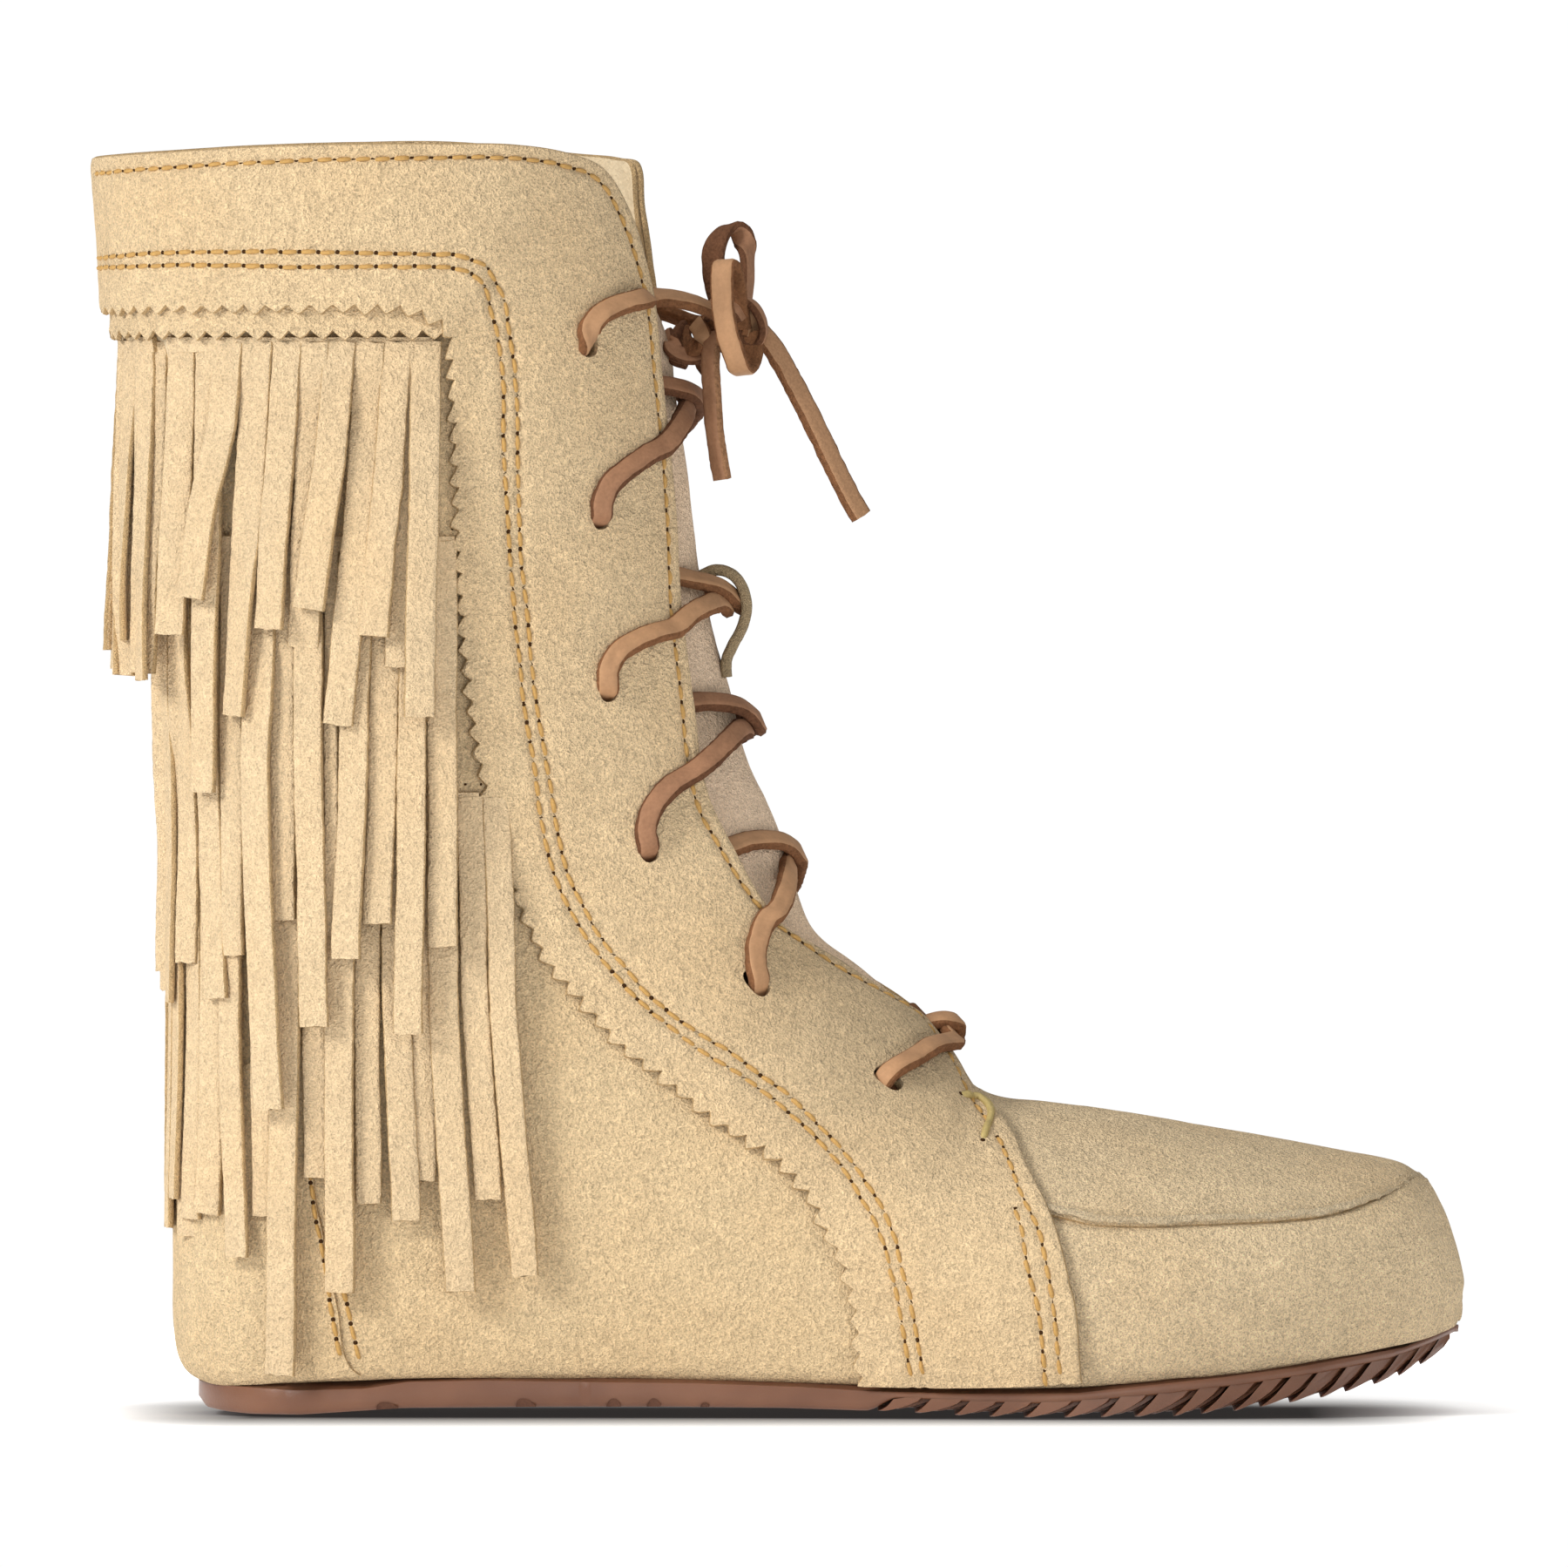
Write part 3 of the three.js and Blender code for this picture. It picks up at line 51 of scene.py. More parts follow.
# ------------------------------------------------------------ tables of the upper
# front/top x, z; back/bottom x, z; half width; half width at the back/bottom line;
# fraction of the depth where it is widest; roundness before and after that; centre y
SECTIONS = [
    [238.8, 22.59, 238.1, 18.71, 0.4, 0.2, 0.55, 2, 2.2, 7.5],
    [238.45, 27.89, 236.86, 16.94, 10, 8, 0.55, 2, 2.2, 7.5],
    [236.69, 35.12, 233.86, 15.71, 17, 14.5, 0.56, 2, 2.2, 7.2],
    [234.22, 41.65, 228.57, 14.12, 24, 21, 0.58, 2, 2.3, 6.6],
    [230.69, 47.3, 221.51, 12.71, 30.5, 27, 0.6, 2, 2.4, 5.8],
    [224.51, 50.48, 213.56, 11.3, 36, 32, 0.62, 1.95, 2.5, 4.8],
    [213.92, 52.6, 202.97, 9.71, 41, 36.5, 0.62, 1.9, 2.5, 3.4],
    [199.44, 55.24, 190.62, 8.12, 44.5, 40, 0.62, 1.85, 2.5, 1.8],
    [183.56, 58.24, 176.5, 6.88, 47, 42.5, 0.62, 1.8, 2.5, 0.4],
    [167.67, 60.89, 160.61, 5.82, 47.5, 43, 0.62, 1.75, 2.5, -0.4],
    [153.55, 62.83, 145.61, 5.47, 46.5, 41.5, 0.62, 1.7, 2.5, -0.6],
    [140.32, 65.48, 130.61, 5.65, 44.5, 39, 0.62, 1.7, 2.5, -0.3],
    [133.79, 72.72, 116.49, 6, 42.3, 36.5, 0.61, 1.7, 2.5, 0.1],
    [125.31, 82.6, 100.6, 6.53, 40.3, 34, 0.6, 1.7, 2.5, 0.5],
    [115.61, 90.9, 82.95, 6.88, 38.8, 32, 0.58, 1.75, 2.5, 0.7],
    [108.02, 96.55, 63.54, 7.06, 37.7, 31, 0.56, 1.8, 2.5, 0.7],
    [104.31, 103.25, 42.36, 7.24, 36.9, 31, 0.55, 1.85, 2.5, 0.6],
    [101.49, 112.08, 22.06, 6.88, 36.3, 30.5, 0.54, 1.9, 2.5, 0.4],
    [98.49, 120.9, 4.41, 6.18, 35.9, 27, 0.53, 1.95, 2.5, 0.2],
    [95.31, 128.84, -8.47, 5.65, 35.6, 19, 0.52, 2, 2.5, 0.1],
    [92.49, 136.26, -16.24, 6.35, 35.4, 9, 0.52, 2, 2.5, 0],
    [90.02, 145.61, -20.65, 10.06, 35.3, 0, 0.52, 2, 2.5, 0],
    [87.54, 154.44, -22.24, 17.65, 35.4, 0, 0.51, 2, 2.45, 0],
    [85.6, 163.26, -22.42, 30, 35.7, 0, 0.5, 2, 2.4, 0],
    [83.66, 172.97, -22.42, 44.12, 36.1, 0, 0.5, 2, 2.35, 0],
    [82.07, 183.56, -22.06, 61.77, 36.7, 0, 0.5, 2.05, 2.3, 0],
    [80.66, 194.15, -21.71, 82.95, 37.5, 0, 0.5, 2.05, 2.25, 0],
    [79.42, 204.74, -21.89, 107.66, 38.4, 0, 0.5, 2.1, 2.2, 0],
    [78.37, 215.33, -22.77, 134.14, 39.3, 0, 0.5, 2.1, 2.15, 0],
    [77.31, 225.92, -24.71, 162.38, 40.2, 0, 0.5, 2.1, 2.1, 0],
    [76.42, 234.74, -27.89, 188.85, 41, 0, 0.5, 2.1, 2.1, 0],
    [75.54, 243.57, -31.59, 213.56, 41.6, 0, 0.5, 2.1, 2.1, 0],
    [74.66, 251.51, -34.59, 236.51, 42, 0, 0.5, 2.1, 2.1, 0],
    [73.95, 259.45, -36.71, 259.45, 42.2, 0, 0.5, 2.1, 2.1, 0],
]

# The front panel in side view (x, z), from the back of the collar to the sole:
# its edge along the collar top and the facing ...
FACING_OUTLINE = [
    (-22.95, 255.22), (-5.29, 256.28), (14.12, 256.81), (33.53, 256.81), (45.89, 256.45),
    (56.48, 254.51), (63.54, 250.63), (69.19, 240.04), (72.72, 227.68), (74.48, 211.8),
    (76.25, 195.91), (77.66, 180.03), (78.72, 162.38), (81.19, 144.73), (83.48, 128.84),
    (89.13, 114.72), (97.07, 100.96), (106.78, 93.19), (115.61, 87.54), (123.55, 82.6),
    (129.73, 77.13), (135.91, 67.78), (143.49, 59.48), (149.67, 49.07), (155.5, 36.71),
    (159.2, 22.42), (160.44, 7.94)]
# ... the points of that edge that differ on the medial side ...
FACING_OUTLINE_MEDIAL = {
    4: (56.83, 254.51), 5: (65.3, 253.63), 6: (69.54, 251.87), 7: (70.95, 242.69),
    8: (73.25, 227.68), 9: (75.37, 211.8), 10: (76.95, 195.91)}
# ... and its pinked edge behind and below
PINKED_OUTLINE = [
    (-22.95, 225.04), (-5.29, 225.04), (10.59, 225.04), (22.06, 224.86), (28.59, 223.45),
    (32.12, 220.98), (33.53, 217.09), (34.06, 210.03), (34.59, 199.44), (35.12, 186.21),
    (35.48, 172.97), (36.18, 160.61), (37.24, 150.91), (38.65, 139.44), (41.48, 124.43),
    (45.54, 110.31), (51.18, 96.55), (60.01, 85.25), (69.72, 74.48), (79.42, 66.89),
    (89.13, 59.3), (97.96, 53.66), (105.02, 47.13), (109.78, 38.83), (113.84, 30),
    (116.31, 19.24), (117.55, 7.41)]
# Seams and slots in side view (x, z)
TOE_SEAM = [
    (154.79, 40.95), (163.26, 38.83), (174.38, 38.48), (186.74, 39.01), (199.97, 39.36),
    (209.33, 40.24), (215.51, 41.83), (220.98, 43.95), (225.39, 45.89), (228.74, 48.01)]
HEEL_SEAM = [(3.88, 77.66), (4.59, 63.54), (5.65, 49.42), (7.77, 35.3), (10.59, 21.18), (15.53, 8.3)]
LACE_SLOTS = [
    (121.08, 67.07), (94.25, 86.84), (72.36, 114.72), (64.25, 147.38), (62.66, 182.32),
    (60.19, 217.09)]

# Rows of stitching in side view (x, z). Two rows follow the pinked edge: one further
# from it, one nearer to it
FAR_ROW = [
    (-36.36, 233.86), (-21.18, 235.27), (6.18, 235.27), (29.12, 234.74), (33.18, 234.74),
    (36.54, 233.69), (39.36, 232.45), (40.95, 230.16), (42.18, 228.21), (43.6, 225.21),
    (44.3, 221.15), (45.18, 216.21), (45.89, 210.56), (46.42, 203.15), (46.6, 190.09),
    (47.13, 173.5), (48.54, 160.61), (49.42, 150.03), (50.66, 141.38), (51.89, 133.96),
    (52.95, 127.79), (54.19, 119.67), (55.95, 111.72), (57.36, 107.66), (59.13, 104.13),
    (61.07, 100.43), (63.01, 97.07), (65.3, 93.72), (67.78, 91.07), (70.25, 87.9),
    (72.72, 85.07), (75.89, 82.43), (78.54, 80.13), (82.25, 77.66), (85.43, 75.54),
    (88.43, 73.78), (91.96, 71.13), (94.96, 68.83), (97.78, 66.89), (100.6, 64.95),
    (103.43, 62.3), (105.9, 59.83), (108.37, 57.36), (110.84, 54.89), (113.31, 51.89),
    (115.43, 49.24), (117.55, 46.07), (119.49, 43.42), (121.08, 40.59), (122.31, 37.77),
    (123.55, 34.77), (124.43, 31.24), (125.31, 27.53), (126.55, 23.83), (129.55, 6.53)]
NEAR_ROW = [
    (-36.18, 231.92), (-29.83, 232.45), (-13.59, 232.8), (4.41, 232.27), (27.0, 232.27),
    (34.24, 231.74), (37.59, 230.16), (39.89, 227.33), (40.95, 222.92), (42.18, 218.86),
    (43.24, 211.62), (43.77, 205.98), (43.77, 194.68), (44.48, 182.32), (45.18, 170.32),
    (46.07, 159.56), (46.77, 154.26), (47.3, 147.55), (48.01, 141.91), (48.89, 136.43),
    (50.13, 129.02), (51.01, 121.61), (51.89, 117.2), (52.95, 112.78), (54.19, 108.55),
    (55.77, 104.84), (57.36, 101.84), (59.66, 97.78), (61.95, 94.25), (67.42, 87.54),
    (70.25, 84.54), (73.6, 81.37), (77.13, 78.72), (80.48, 75.89), (84.19, 73.07),
    (87.54, 70.95), (91.25, 68.66), (94.78, 66.19), (98.13, 63.72), (101.13, 61.07),
    (104.31, 58.42), (107.31, 55.42), (109.78, 52.6), (112.43, 49.6), (114.55, 46.42),
    (116.31, 43.42), (118.61, 39.89), (120.37, 36.18), (121.61, 33.18), (122.49, 29.12),
    (123.55, 25.42), (127.08, 6.53)]
VAMP_ROW_FRONT = [
    (143.49, 55.07), (144.73, 52.77), (146.5, 48.89), (148.97, 42.89), (152.14, 36.71),
    (153.73, 29.83), (154.97, 23.12), (155.85, 13.77), (156.56, 6.71)]
VAMP_ROW_REAR = [
    (147.2, 41.3), (148.61, 37.06), (149.67, 30.53), (150.91, 26.83), (152.14, 20.65),
    (153.03, 12.53), (153.55, 7.06)]
VAMP_ROW_CROSS = [(147.02, 41.3), (149.67, 41.83)]
HEEL_ROW_REAR = [
    (4.59, 51.18), (5.29, 46.6), (6.35, 39.18), (7.59, 33.53), (9.0, 23.65), (10.24, 16.24),
    (11.65, 9.18)]
HEEL_ROW_FRONT = [
    (8.65, 42.36), (9.71, 35.3), (10.77, 29.65), (11.83, 24.89), (13.41, 17.47), (15.36, 8.82)]
SEWN_ROWS = [FAR_ROW, NEAR_ROW, VAMP_ROW_FRONT, VAMP_ROW_REAR]

# ------------------------------------------------------------ tables of the fringe
# Each strip: centre line as (x, fraction of the way down), z of the tip, width,
# layer it hangs in, curl of the tip (+ out, - in)
STRIPS_UPPER = [
    ([(-31.42, 0), (-32.3, 0.5), (-33.18, 1)], 149.67, 5.65, 0, -0.6),
    ([(-26.47, 0), (-27.71, 0.5), (-29.3, 1)], 150.03, 6.0, 1.0, 0),
    ([(-20.83, 0), (-21.89, 0.5), (-23.65, 1)], 157.97, 5.82, 1.0, 0.3),
    ([(-15.36, 0), (-16.06, 0.5), (-16.94, 1)], 126.2, 5.65, 0, 0),
    ([(-11.47, 0), (-12.88, 0.32), (-16.41, 0.62), (-19.41, 1)], 165.56, 5.82, 3, 0),
    ([(-5.47, 0), (-7.59, 0.5), (-10.41, 1)], 141.73, 6.0, 1, 0),
    ([(0.53, 0), (-1.41, 0.5), (-3.35, 1)], 159.29, 5.82, 2, 0.5),
    ([(5.82, 0), (4.94, 0.5), (3.71, 1)], 155.67, 6.18, 0.6, -1),
    ([(11.12, 0), (9.0, 0.45), (4.77, 1)], 163.44, 6.35, 3, 0.2),
    ([(17.12, 0), (14.65, 0.5), (10.68, 1)], 139.96, 6.0, 1, 0),
    ([(22.52, 0), (20.65, 0.5), (17.83, 1)], 157.97, 6.0, 2, 0.2),
    ([(24.0, 0), (23.3, 0.5), (22.59, 1)], 151.61, 4.77, 0.4, 0),
    ([(28.42, 0), (27.89, 0.5), (27.11, 1)], 141.73, 6.18, 3, 0),
]
STRIPS_MIDDLE = [
    ([(-24.36, 0), (-25.06, 0.25), (-24.18, 0.6), (-21.36, 1)], 86.66, 4.94, 0, 0.6),
    ([(-21.71, 0), (-21.53, 0.3), (-20.83, 0.6), (-20.3, 1)], 91.96, 4.77, 2, 0),
    ([(-15.88, 0), (-15.53, 0.5), (-13.94, 1)], 84.54, 4.94, 1.2, 0.3),
    ([(-10.77, 0), (-10.77, 0.5), (-10.59, 1)], 93.19, 4.94, 0, 0),
    ([(-4.59, 0), (-4.94, 0.17), (-6.0, 0.36), (-5.47, 0.62), (-3.18, 1)], 62.3, 5.82, 3, 0),
    ([(-0.53, 0), (-0.53, 0.5), (-0.35, 1)], 100.52, 5.12, 0, 0),
    ([(4.41, 0), (4.77, 0.5), (6.0, 1)], 79.07, 5.82, 2, 0),
    ([(9.35, 0), (9.35, 1)], 97.43, 3.0, 0, 0),
    ([(14.65, 0), (13.94, 0.5), (12.35, 1)], 92.84, 5.82, 2, 0.2),
    ([(20.65, 0), (19.94, 0.5), (18.8, 1)], 99.9, 5.82, 1, 0.2),
    ([(25.95, 0), (25.59, 0.5), (24.97, 1)], 77.66, 5.82, 2, 0),
    ([(31.59, 0), (31.77, 0.5), (31.95, 1)], 95.31, 6.0, 1, 0),
]
STRIPS_LOWER = [
    ([(-19.94, 0), (-19.94, 0.5), (-19.41, 1)], 36.18, 5.65, 0, 0),
    ([(-15.36, 0), (-14.65, 0.35), (-14.83, 0.7), (-16.24, 1)], 40.95, 5.12, 2, 0),
    ([(-10.94, 0), (-11.3, 0.5), (-10.06, 1)], 32.3, 4.59, 2, 0.2),
    ([(-4.77, 0), (-4.77, 1)], 40.59, 4.24, 0, 0),
    ([(0.18, 0), (-0.18, 0.5), (-1.41, 1)], 8.65, 5.82, 2, 0),
    ([(5.82, 0), (6.0, 1)], 48.36, 4.94, 0, 0),
    ([(11.12, 0), (10.94, 0.5), (10.77, 1)], 25.42, 5.82, 2, 0),
    ([(16.59, 0), (16.59, 1)], 43.24, 5.12, 0.3, 0),
    ([(21.89, 0), (22.42, 0.45), (24.18, 1)], 39.89, 5.82, 1, 0),
    ([(27.71, 0), (27.89, 1)], 48.01, 4.59, 0, 0),
    ([(31.06, 0), (32.12, 0.45), (35.12, 1)], 25.59, 6.0, 2, 0),
    ([(37.06, 0), (38.3, 0.5), (40.77, 1)], 44.12, 5.47, 1, 0),
    ([(42.36, 0), (44.12, 0.45), (48.18, 1)], 28.77, 5.47, 2, 0),
]
# header: z of the seam it hangs from; front_x: front end of the piece; top_gap: header to
# the first row of a side strip; away, away_z: how far strips end up off the boot and over
# which heights; flare, flare_z: the same for a second step; near, hang: share of that
# distance, and outward lean per mm of drop, of the back strips; drops: their lengths
TIERS = {
    "upper": dict(header=217.2, front_x=29.8, top_gap=0.4, strips=STRIPS_UPPER,
                  away=4.2, away_z=(212, 172), flare=1.2, flare_z=(172, 140),
                  near=1.0, hang=0.02, drops=(67, 61, 66, 62, 67, 60, 68)),
    "middle": dict(header=177.0, front_x=34.0, top_gap=0.5, strips=STRIPS_MIDDLE,
                   away=4.4, away_z=(172, 118), flare=1.2, flare_z=(120, 95),
                   near=0.42, hang=-0.055, drops=(88, 92, 86, 91, 87, 93, 85)),
    "lower": dict(header=125.3, front_x=38.8, top_gap=0.5, strips=STRIPS_LOWER,
                  away=1.6, away_z=(123, 96), flare=0.0, flare_z=(96, 80),
                  near=0.5, hang=-0.045, drops=(82, 86, 80, 84, 87, 81, 85)),
}

# ------------------------------------------------------------ tables of the laces
# For each slot, from inside it over the leather to the facing edge: x, z, lift
LACE_ARCS = [
    [(120.2, 66.01, -3.2), (120.2, 66.72, -0.4), (120.73, 67.6, 2.2), (122.84, 69.01, 2.95),
     (126.02, 70.78, 3.0), (128.84, 72.54, 3.2)],
    [(95.49, 84.9, -3.2), (95.31, 85.78, -0.4), (94.6, 87.19, 2.2), (93.55, 90.37, 2.95),
     (93.55, 94.43, 3.0), (94.96, 98.84, 3.2)],
    [(73.07, 112.61, -3.2), (72.89, 113.49, -0.4), (72.36, 114.9, 2.2), (71.66, 118.25, 2.95),
     (73.07, 122.67, 3.0), (76.25, 126.55, 3.0), (80.31, 129.2, 3.1)],
    [(64.78, 145.26, -3.2), (64.6, 145.97, -0.4), (64.07, 147.38, 2.2), (63.72, 150.73, 2.95),
     (65.66, 154.26, 3.0), (69.19, 156.56, 3.0), (73.25, 157.97, 3.0), (76.42, 158.67, 3.1)],
    [(63.01, 180.03, -3.2), (62.83, 180.74, -0.4), (62.48, 182.15, 2.2), (62.3, 184.97, 2.95),
     (64.07, 188.5, 3.0), (67.25, 191.33, 3.0), (71.13, 194.15, 3.0), (73.95, 195.74, 3.1)],
    [(60.54, 214.8, -3.2), (60.19, 215.51, -0.4), (59.66, 216.92, 2.4), (59.48, 219.39, 3.2),
     (61.42, 222.21, 3.4), (64.95, 224.16, 3.6), (69.19, 225.39, 4.0)],
]
# Each crossing in side view (x, z): over the facing edge, the ridge of the tongue,
# under the other facing edge
CROSSINGS = [
    [(132.9, 74.31), (135.73, 78.01), (127.08, 80.48)],
    [(98.13, 102.37), (103.61, 112.43), (89.84, 115.43)],
    [(82.43, 130.61), (95.49, 138.91), (81.9, 144.91)],
    [(78.01, 159.91), (91.43, 163.62), (78.9, 171.38)],
    [(76.6, 199.09), (83.66, 204.56), (76.6, 210.39)]]
# From the facing edge to the knot (x, y, z), for each side
TO_KNOT = {
    -1: [(73.25, -13.5, 225.74), (78.01, -12, 225.57), (82.43, -10, 224.51),
         (85.78, -8, 223.1), (88.6, -6, 221.33), (90.37, -4, 219.92)],
    1: [(73.25, 14, 223.8), (78.01, 11, 222.04), (82.43, 7.5, 220.27), (86.13, 5, 219.57),
        (89.31, 2.5, 219.21)]}
# Bow, ends and keeper as paths (x, y, z); the _WIDE tables are the direction of the
# ribbon's width at each point of its path, or one direction for all of it
BOW_FRONT = [
    (91.78, -6.5, 219.57), (91.07, -8.0, 224.16), (90.54, -10, 228.57), (89.66, -12.5, 231.92),
    (88.43, -14.6, 232.45), (88.07, -15.8, 229.8), (88.25, -16.3, 224.16),
    (89.13, -16.3, 218.33), (90.37, -16.2, 214.62), (91.43, -14.6, 211.8),
    (92.66, -11.6, 210.92), (93.72, -8.6, 212.51), (94.25, -7.4, 215.33), (93.72, -6.6, 218.15)]
BOW_FRONT_WIDE = [(0.9, -0.35, 0.0)] * 4 + [(0.97, -0.2, 0.1)] * 5 + [
    (0.93, -0.3, 0.15), (0.86, -0.42, 0.1), (0.86, -0.45, 0.0), (0.88, -0.42, 0.0),
    (0.9, -0.4, 0.0)]
BOW_BACK = [
    (89.31, 1.5, 222.04), (87.19, 3.5, 226.8), (86.31, 5.0, 232.1), (86.48, 6.5, 235.8),
    (88.25, 8.5, 238.8), (90.54, 9.8, 239.69), (92.31, 10, 237.92), (93.02, 9, 234.39),
    (93.19, 7, 229.45), (92.66, 5, 225.04), (91.78, 3, 222.04)]
BOW_BACK_WIDE = [(0.92, -0.35, 0.0)] * 4 + [(0.8, -0.5, 0.2)] * 3 + [(0.35, 0.93, 0.0)] * 4
END_SHORT = [
    (86.48, -7.1, 218.15), (85.78, -9.2, 214.98), (85.78, -10.7, 210.03),
    (86.13, -11.2, 204.74), (86.48, -11.2, 199.44), (87.19, -11.1, 194.15),
    (88.07, -10.9, 189.03)]
END_SHORT_WIDE = (0.7, -0.71, 0.05)
END_LONG = [
    (94.6, -4.2, 219.57), (97.07, -5.0, 217.09), (99.9, -5.4, 213.04), (102.55, -5.4, 208.09),
    (105.19, -5.2, 203.15), (107.66, -5.0, 198.03), (110.14, -4.6, 192.91),
    (112.61, -4.2, 187.8), (114.55, -4.0, 184.09), (116.14, -3.8, 181.44)]
END_LONG_WIDE = (0.7, 0.58, 0.4)
KEEPER = [
    (84.01, 0.3, 169.44), (86.84, 0.3, 170.5), (90.02, 0.3, 169.62), (92.13, 0.3, 166.97),
    (93.02, 0.3, 162.91), (92.13, 0.3, 158.85), (90.19, 0.3, 155.14), (88.96, 0.3, 152.14),
    (88.96, 0.3, 148.97)]
# Turns of the knot: path, width direction, whether the dark leather
KNOT_WRAPS = [
    ([(89.66, -1.5, 223.8), (91.78, -4.5, 225.04), (94.25, -7.0, 224.16), (96.02, -8.0, 221.33),
      (96.37, -7.6, 218.33), (94.96, -6.5, 216.39), (92.84, -5.5, 216.74),
      (91.78, -5.0, 219.21)],
     [(0.25, 0.95, 0.0)] * 3 + [(0.1, 0.95, 0.2)] * 5, True),
    ([(87.54, 2.5, 223.8), (89.66, -1, 224.86), (92.13, -4.5, 223.8), (93.55, -6, 221.33),
      (93.19, -6, 218.15)], (0.3, 0.3, 0.9), False),
    ([(85.07, -4, 222.39), (86.48, -6.5, 224.16), (88.96, -8, 224.68), (91.07, -8.6, 223.8),
      (92.31, -8, 221.68)], (0.2, 0.45, 0.87), True),
    ([(82.95, -3, 220.27), (84.01, -6.5, 218.51), (84.01, -7.5, 216.39), (82.25, -6.0, 215.51),
      (80.48, -3, 216.57), (80.13, 0, 218.68)], (0.5, 0.2, 0.84), False),
    ([(80.48, 1, 219.21), (78.72, -3, 217.45), (78.01, -5.5, 215.33), (80.13, -6.0, 213.92),
      (83.31, -5, 213.92), (86.13, -4, 215.68)], (0.3, 0.7, 0.65), True),
    ([(76.6, 6, 217.98), (77.31, 0, 215.33), (78.72, -3.5, 213.74), (81.19, -4.5, 212.86)],
     (0.4, 0.5, 0.75), True),
    ([(88.6, 4, 218.15), (87.19, 2, 215.68), (85.07, -2, 214.62), (84.01, -3, 212.86),
      (85.07, -2.5, 211.09)], (0.6, 0.7, 0.3), True)]
KNOT_CENTRE = (91.0, -2.0, 219.0)

# ------------------------------------------------------------ tables of the sole
# Top and underside in side view (x, z)
SOLE_TOP = [
    (-18.0, 6.53), (-12.35, 6.0), (1.76, 5.29), (15.88, 5.65), (24.71, 7.06), (40.59, 7.41),
    (61.77, 7.06), (82.95, 6.88), (104.13, 6.18), (120.02, 5.29), (135.91, 4.94),
    (159.73, 5.12), (178.26, 7.06), (188.85, 8.12), (204.74, 10.06), (215.33, 11.83),
    (225.92, 13.41), (231.21, 15.18), (236.51, 17.3)]
SOLE_BOTTOM = [
    (-17.83, 3.18), (-16.24, 1.24), (-12.0, 0.53), (-7.06, 0.18), (2.82, 0.18), (24.0, 1.59),
    (48.71, 1.85), (75.89, 1.94), (100.6, 1.76), (120.02, 1.24), (140.32, 0.18), (151.44, 0.0),
    (178.26, 0.18), (191.86, 1.24), (209.33, 3.71), (223.45, 6.88), (234.04, 11.83),
    (236.86, 14.83)]


# ------------------------------------------------------------ numbers and curves
def lerp(start, end, fraction):
    return start + (end - start) * fraction


def smooth(start, end, x):
    """0 at start, 1 at end, eased; start may be the larger one"""
    t = np.clip((np.asarray(x, float) - start) / (end - start), 0, 1)
    return t * t * (3 - 2 * t)


def bell(x, width):
    return np.exp(-((x / width) ** 2))


def length_of(vectors):
    return np.linalg.norm(vectors, axis=-1)


def unit(vectors):
    return vectors / np.maximum(length_of(vectors)[..., None], 1e-9)


def perpendicular(vectors, axes):
    """the part of the vectors at right angles to the unit axes, as unit vectors"""
    return unit(vectors - (vectors * axes).sum(-1, keepdims=True) * axes)


def tangents(path):
    return unit(np.gradient(path, axis=0))


def spline(rows, t):
    """Catmull-Rom through rows at the parameters t (row numbers)"""
    rows = np.asarray(rows, float)
    last = len(rows) - 1
    t = np.clip(np.asarray(t, float), 0, last)
    i = np.minimum(np.floor(t).astype(int), last - 1)
    f = (t - i)[..., None]
    before, here, after, beyond = (rows[np.clip(i + k, 0, last)] for k in (-1, 0, 1, 2))
    return 0.5 * (
        2 * here
        + (-before + after) * f
        + (2 * before - 5 * here + 4 * after - beyond) * f * f
        + (-before + 3 * here - 3 * after + beyond) * f**3
    )


def run_along(path):
    """distance along a path at each of its points"""
    return np.concatenate([[0], np.cumsum(length_of(np.diff(path, axis=0)))])


def at_distance(rows, run, distance):
    return np.stack([np.interp(distance, run, column) for column in rows.T], -1)


def resample(points, step):
    """evenly spaced points along a smooth curve through the given ones"""
    last = len(points) - 1
    path = spline(points, np.linspace(0, last, last * 24 + 1))
    run = run_along(path)
    count = max(int(round(run[-1] / step)), 2) + 1
    return at_distance(path, run, np.linspace(0, run[-1], count))


def blur(rows, reach):
    """moving average down each column"""
    kernel = np.ones(2 * reach + 1) / (2 * reach + 1)
    padded = (np.pad(column, reach, "edge") for column in rows.T)
    return np.stack([np.convolve(column, kernel, "valid") for column in padded], 1)


def soften(values, window):
    """moving average of a list of numbers over a window of any size"""
    padded = np.pad(values, (window, window), "edge")
    return np.convolve(padded, np.ones(window) / window, "same")[window:-window]


def vnoise(points, size, seed=0):
    """smooth value noise in -1..1, features about size mm"""
    points = np.asarray(points, float) / size + np.array([seed * 7.31, seed * 3.77, seed * 5.13])
    cell = np.floor(points).astype(np.int64)
    f = points - cell
    f = f * f * (3 - 2 * f)
    total = 0.0
    for corner in product((0, 1), repeat=3):
        x, y, z = (cell[..., k] + corner[k] for k in range(3))
        code = x * 374761393 + y * 668265263 + z * 1440662683 + seed * 1274126177
        code = code & 0xFFFFFFFF
        code = ((code ^ (code >> 13)) * 1274126177) & 0xFFFFFFFF
        value = ((code ^ (code >> 16)) & 0xFFFF) / 32767.5 - 1
        weight = 1.0
        for k in range(3):
            weight = weight * (f[..., k] if corner[k] else 1 - f[..., k])
        total = total + value * weight
    return total


def relief(points, *layers):
    """sum of noises, each layer given as (height, feature size, seed)"""
    return sum(height * vnoise(points, size, seed) for height, size, seed in layers)


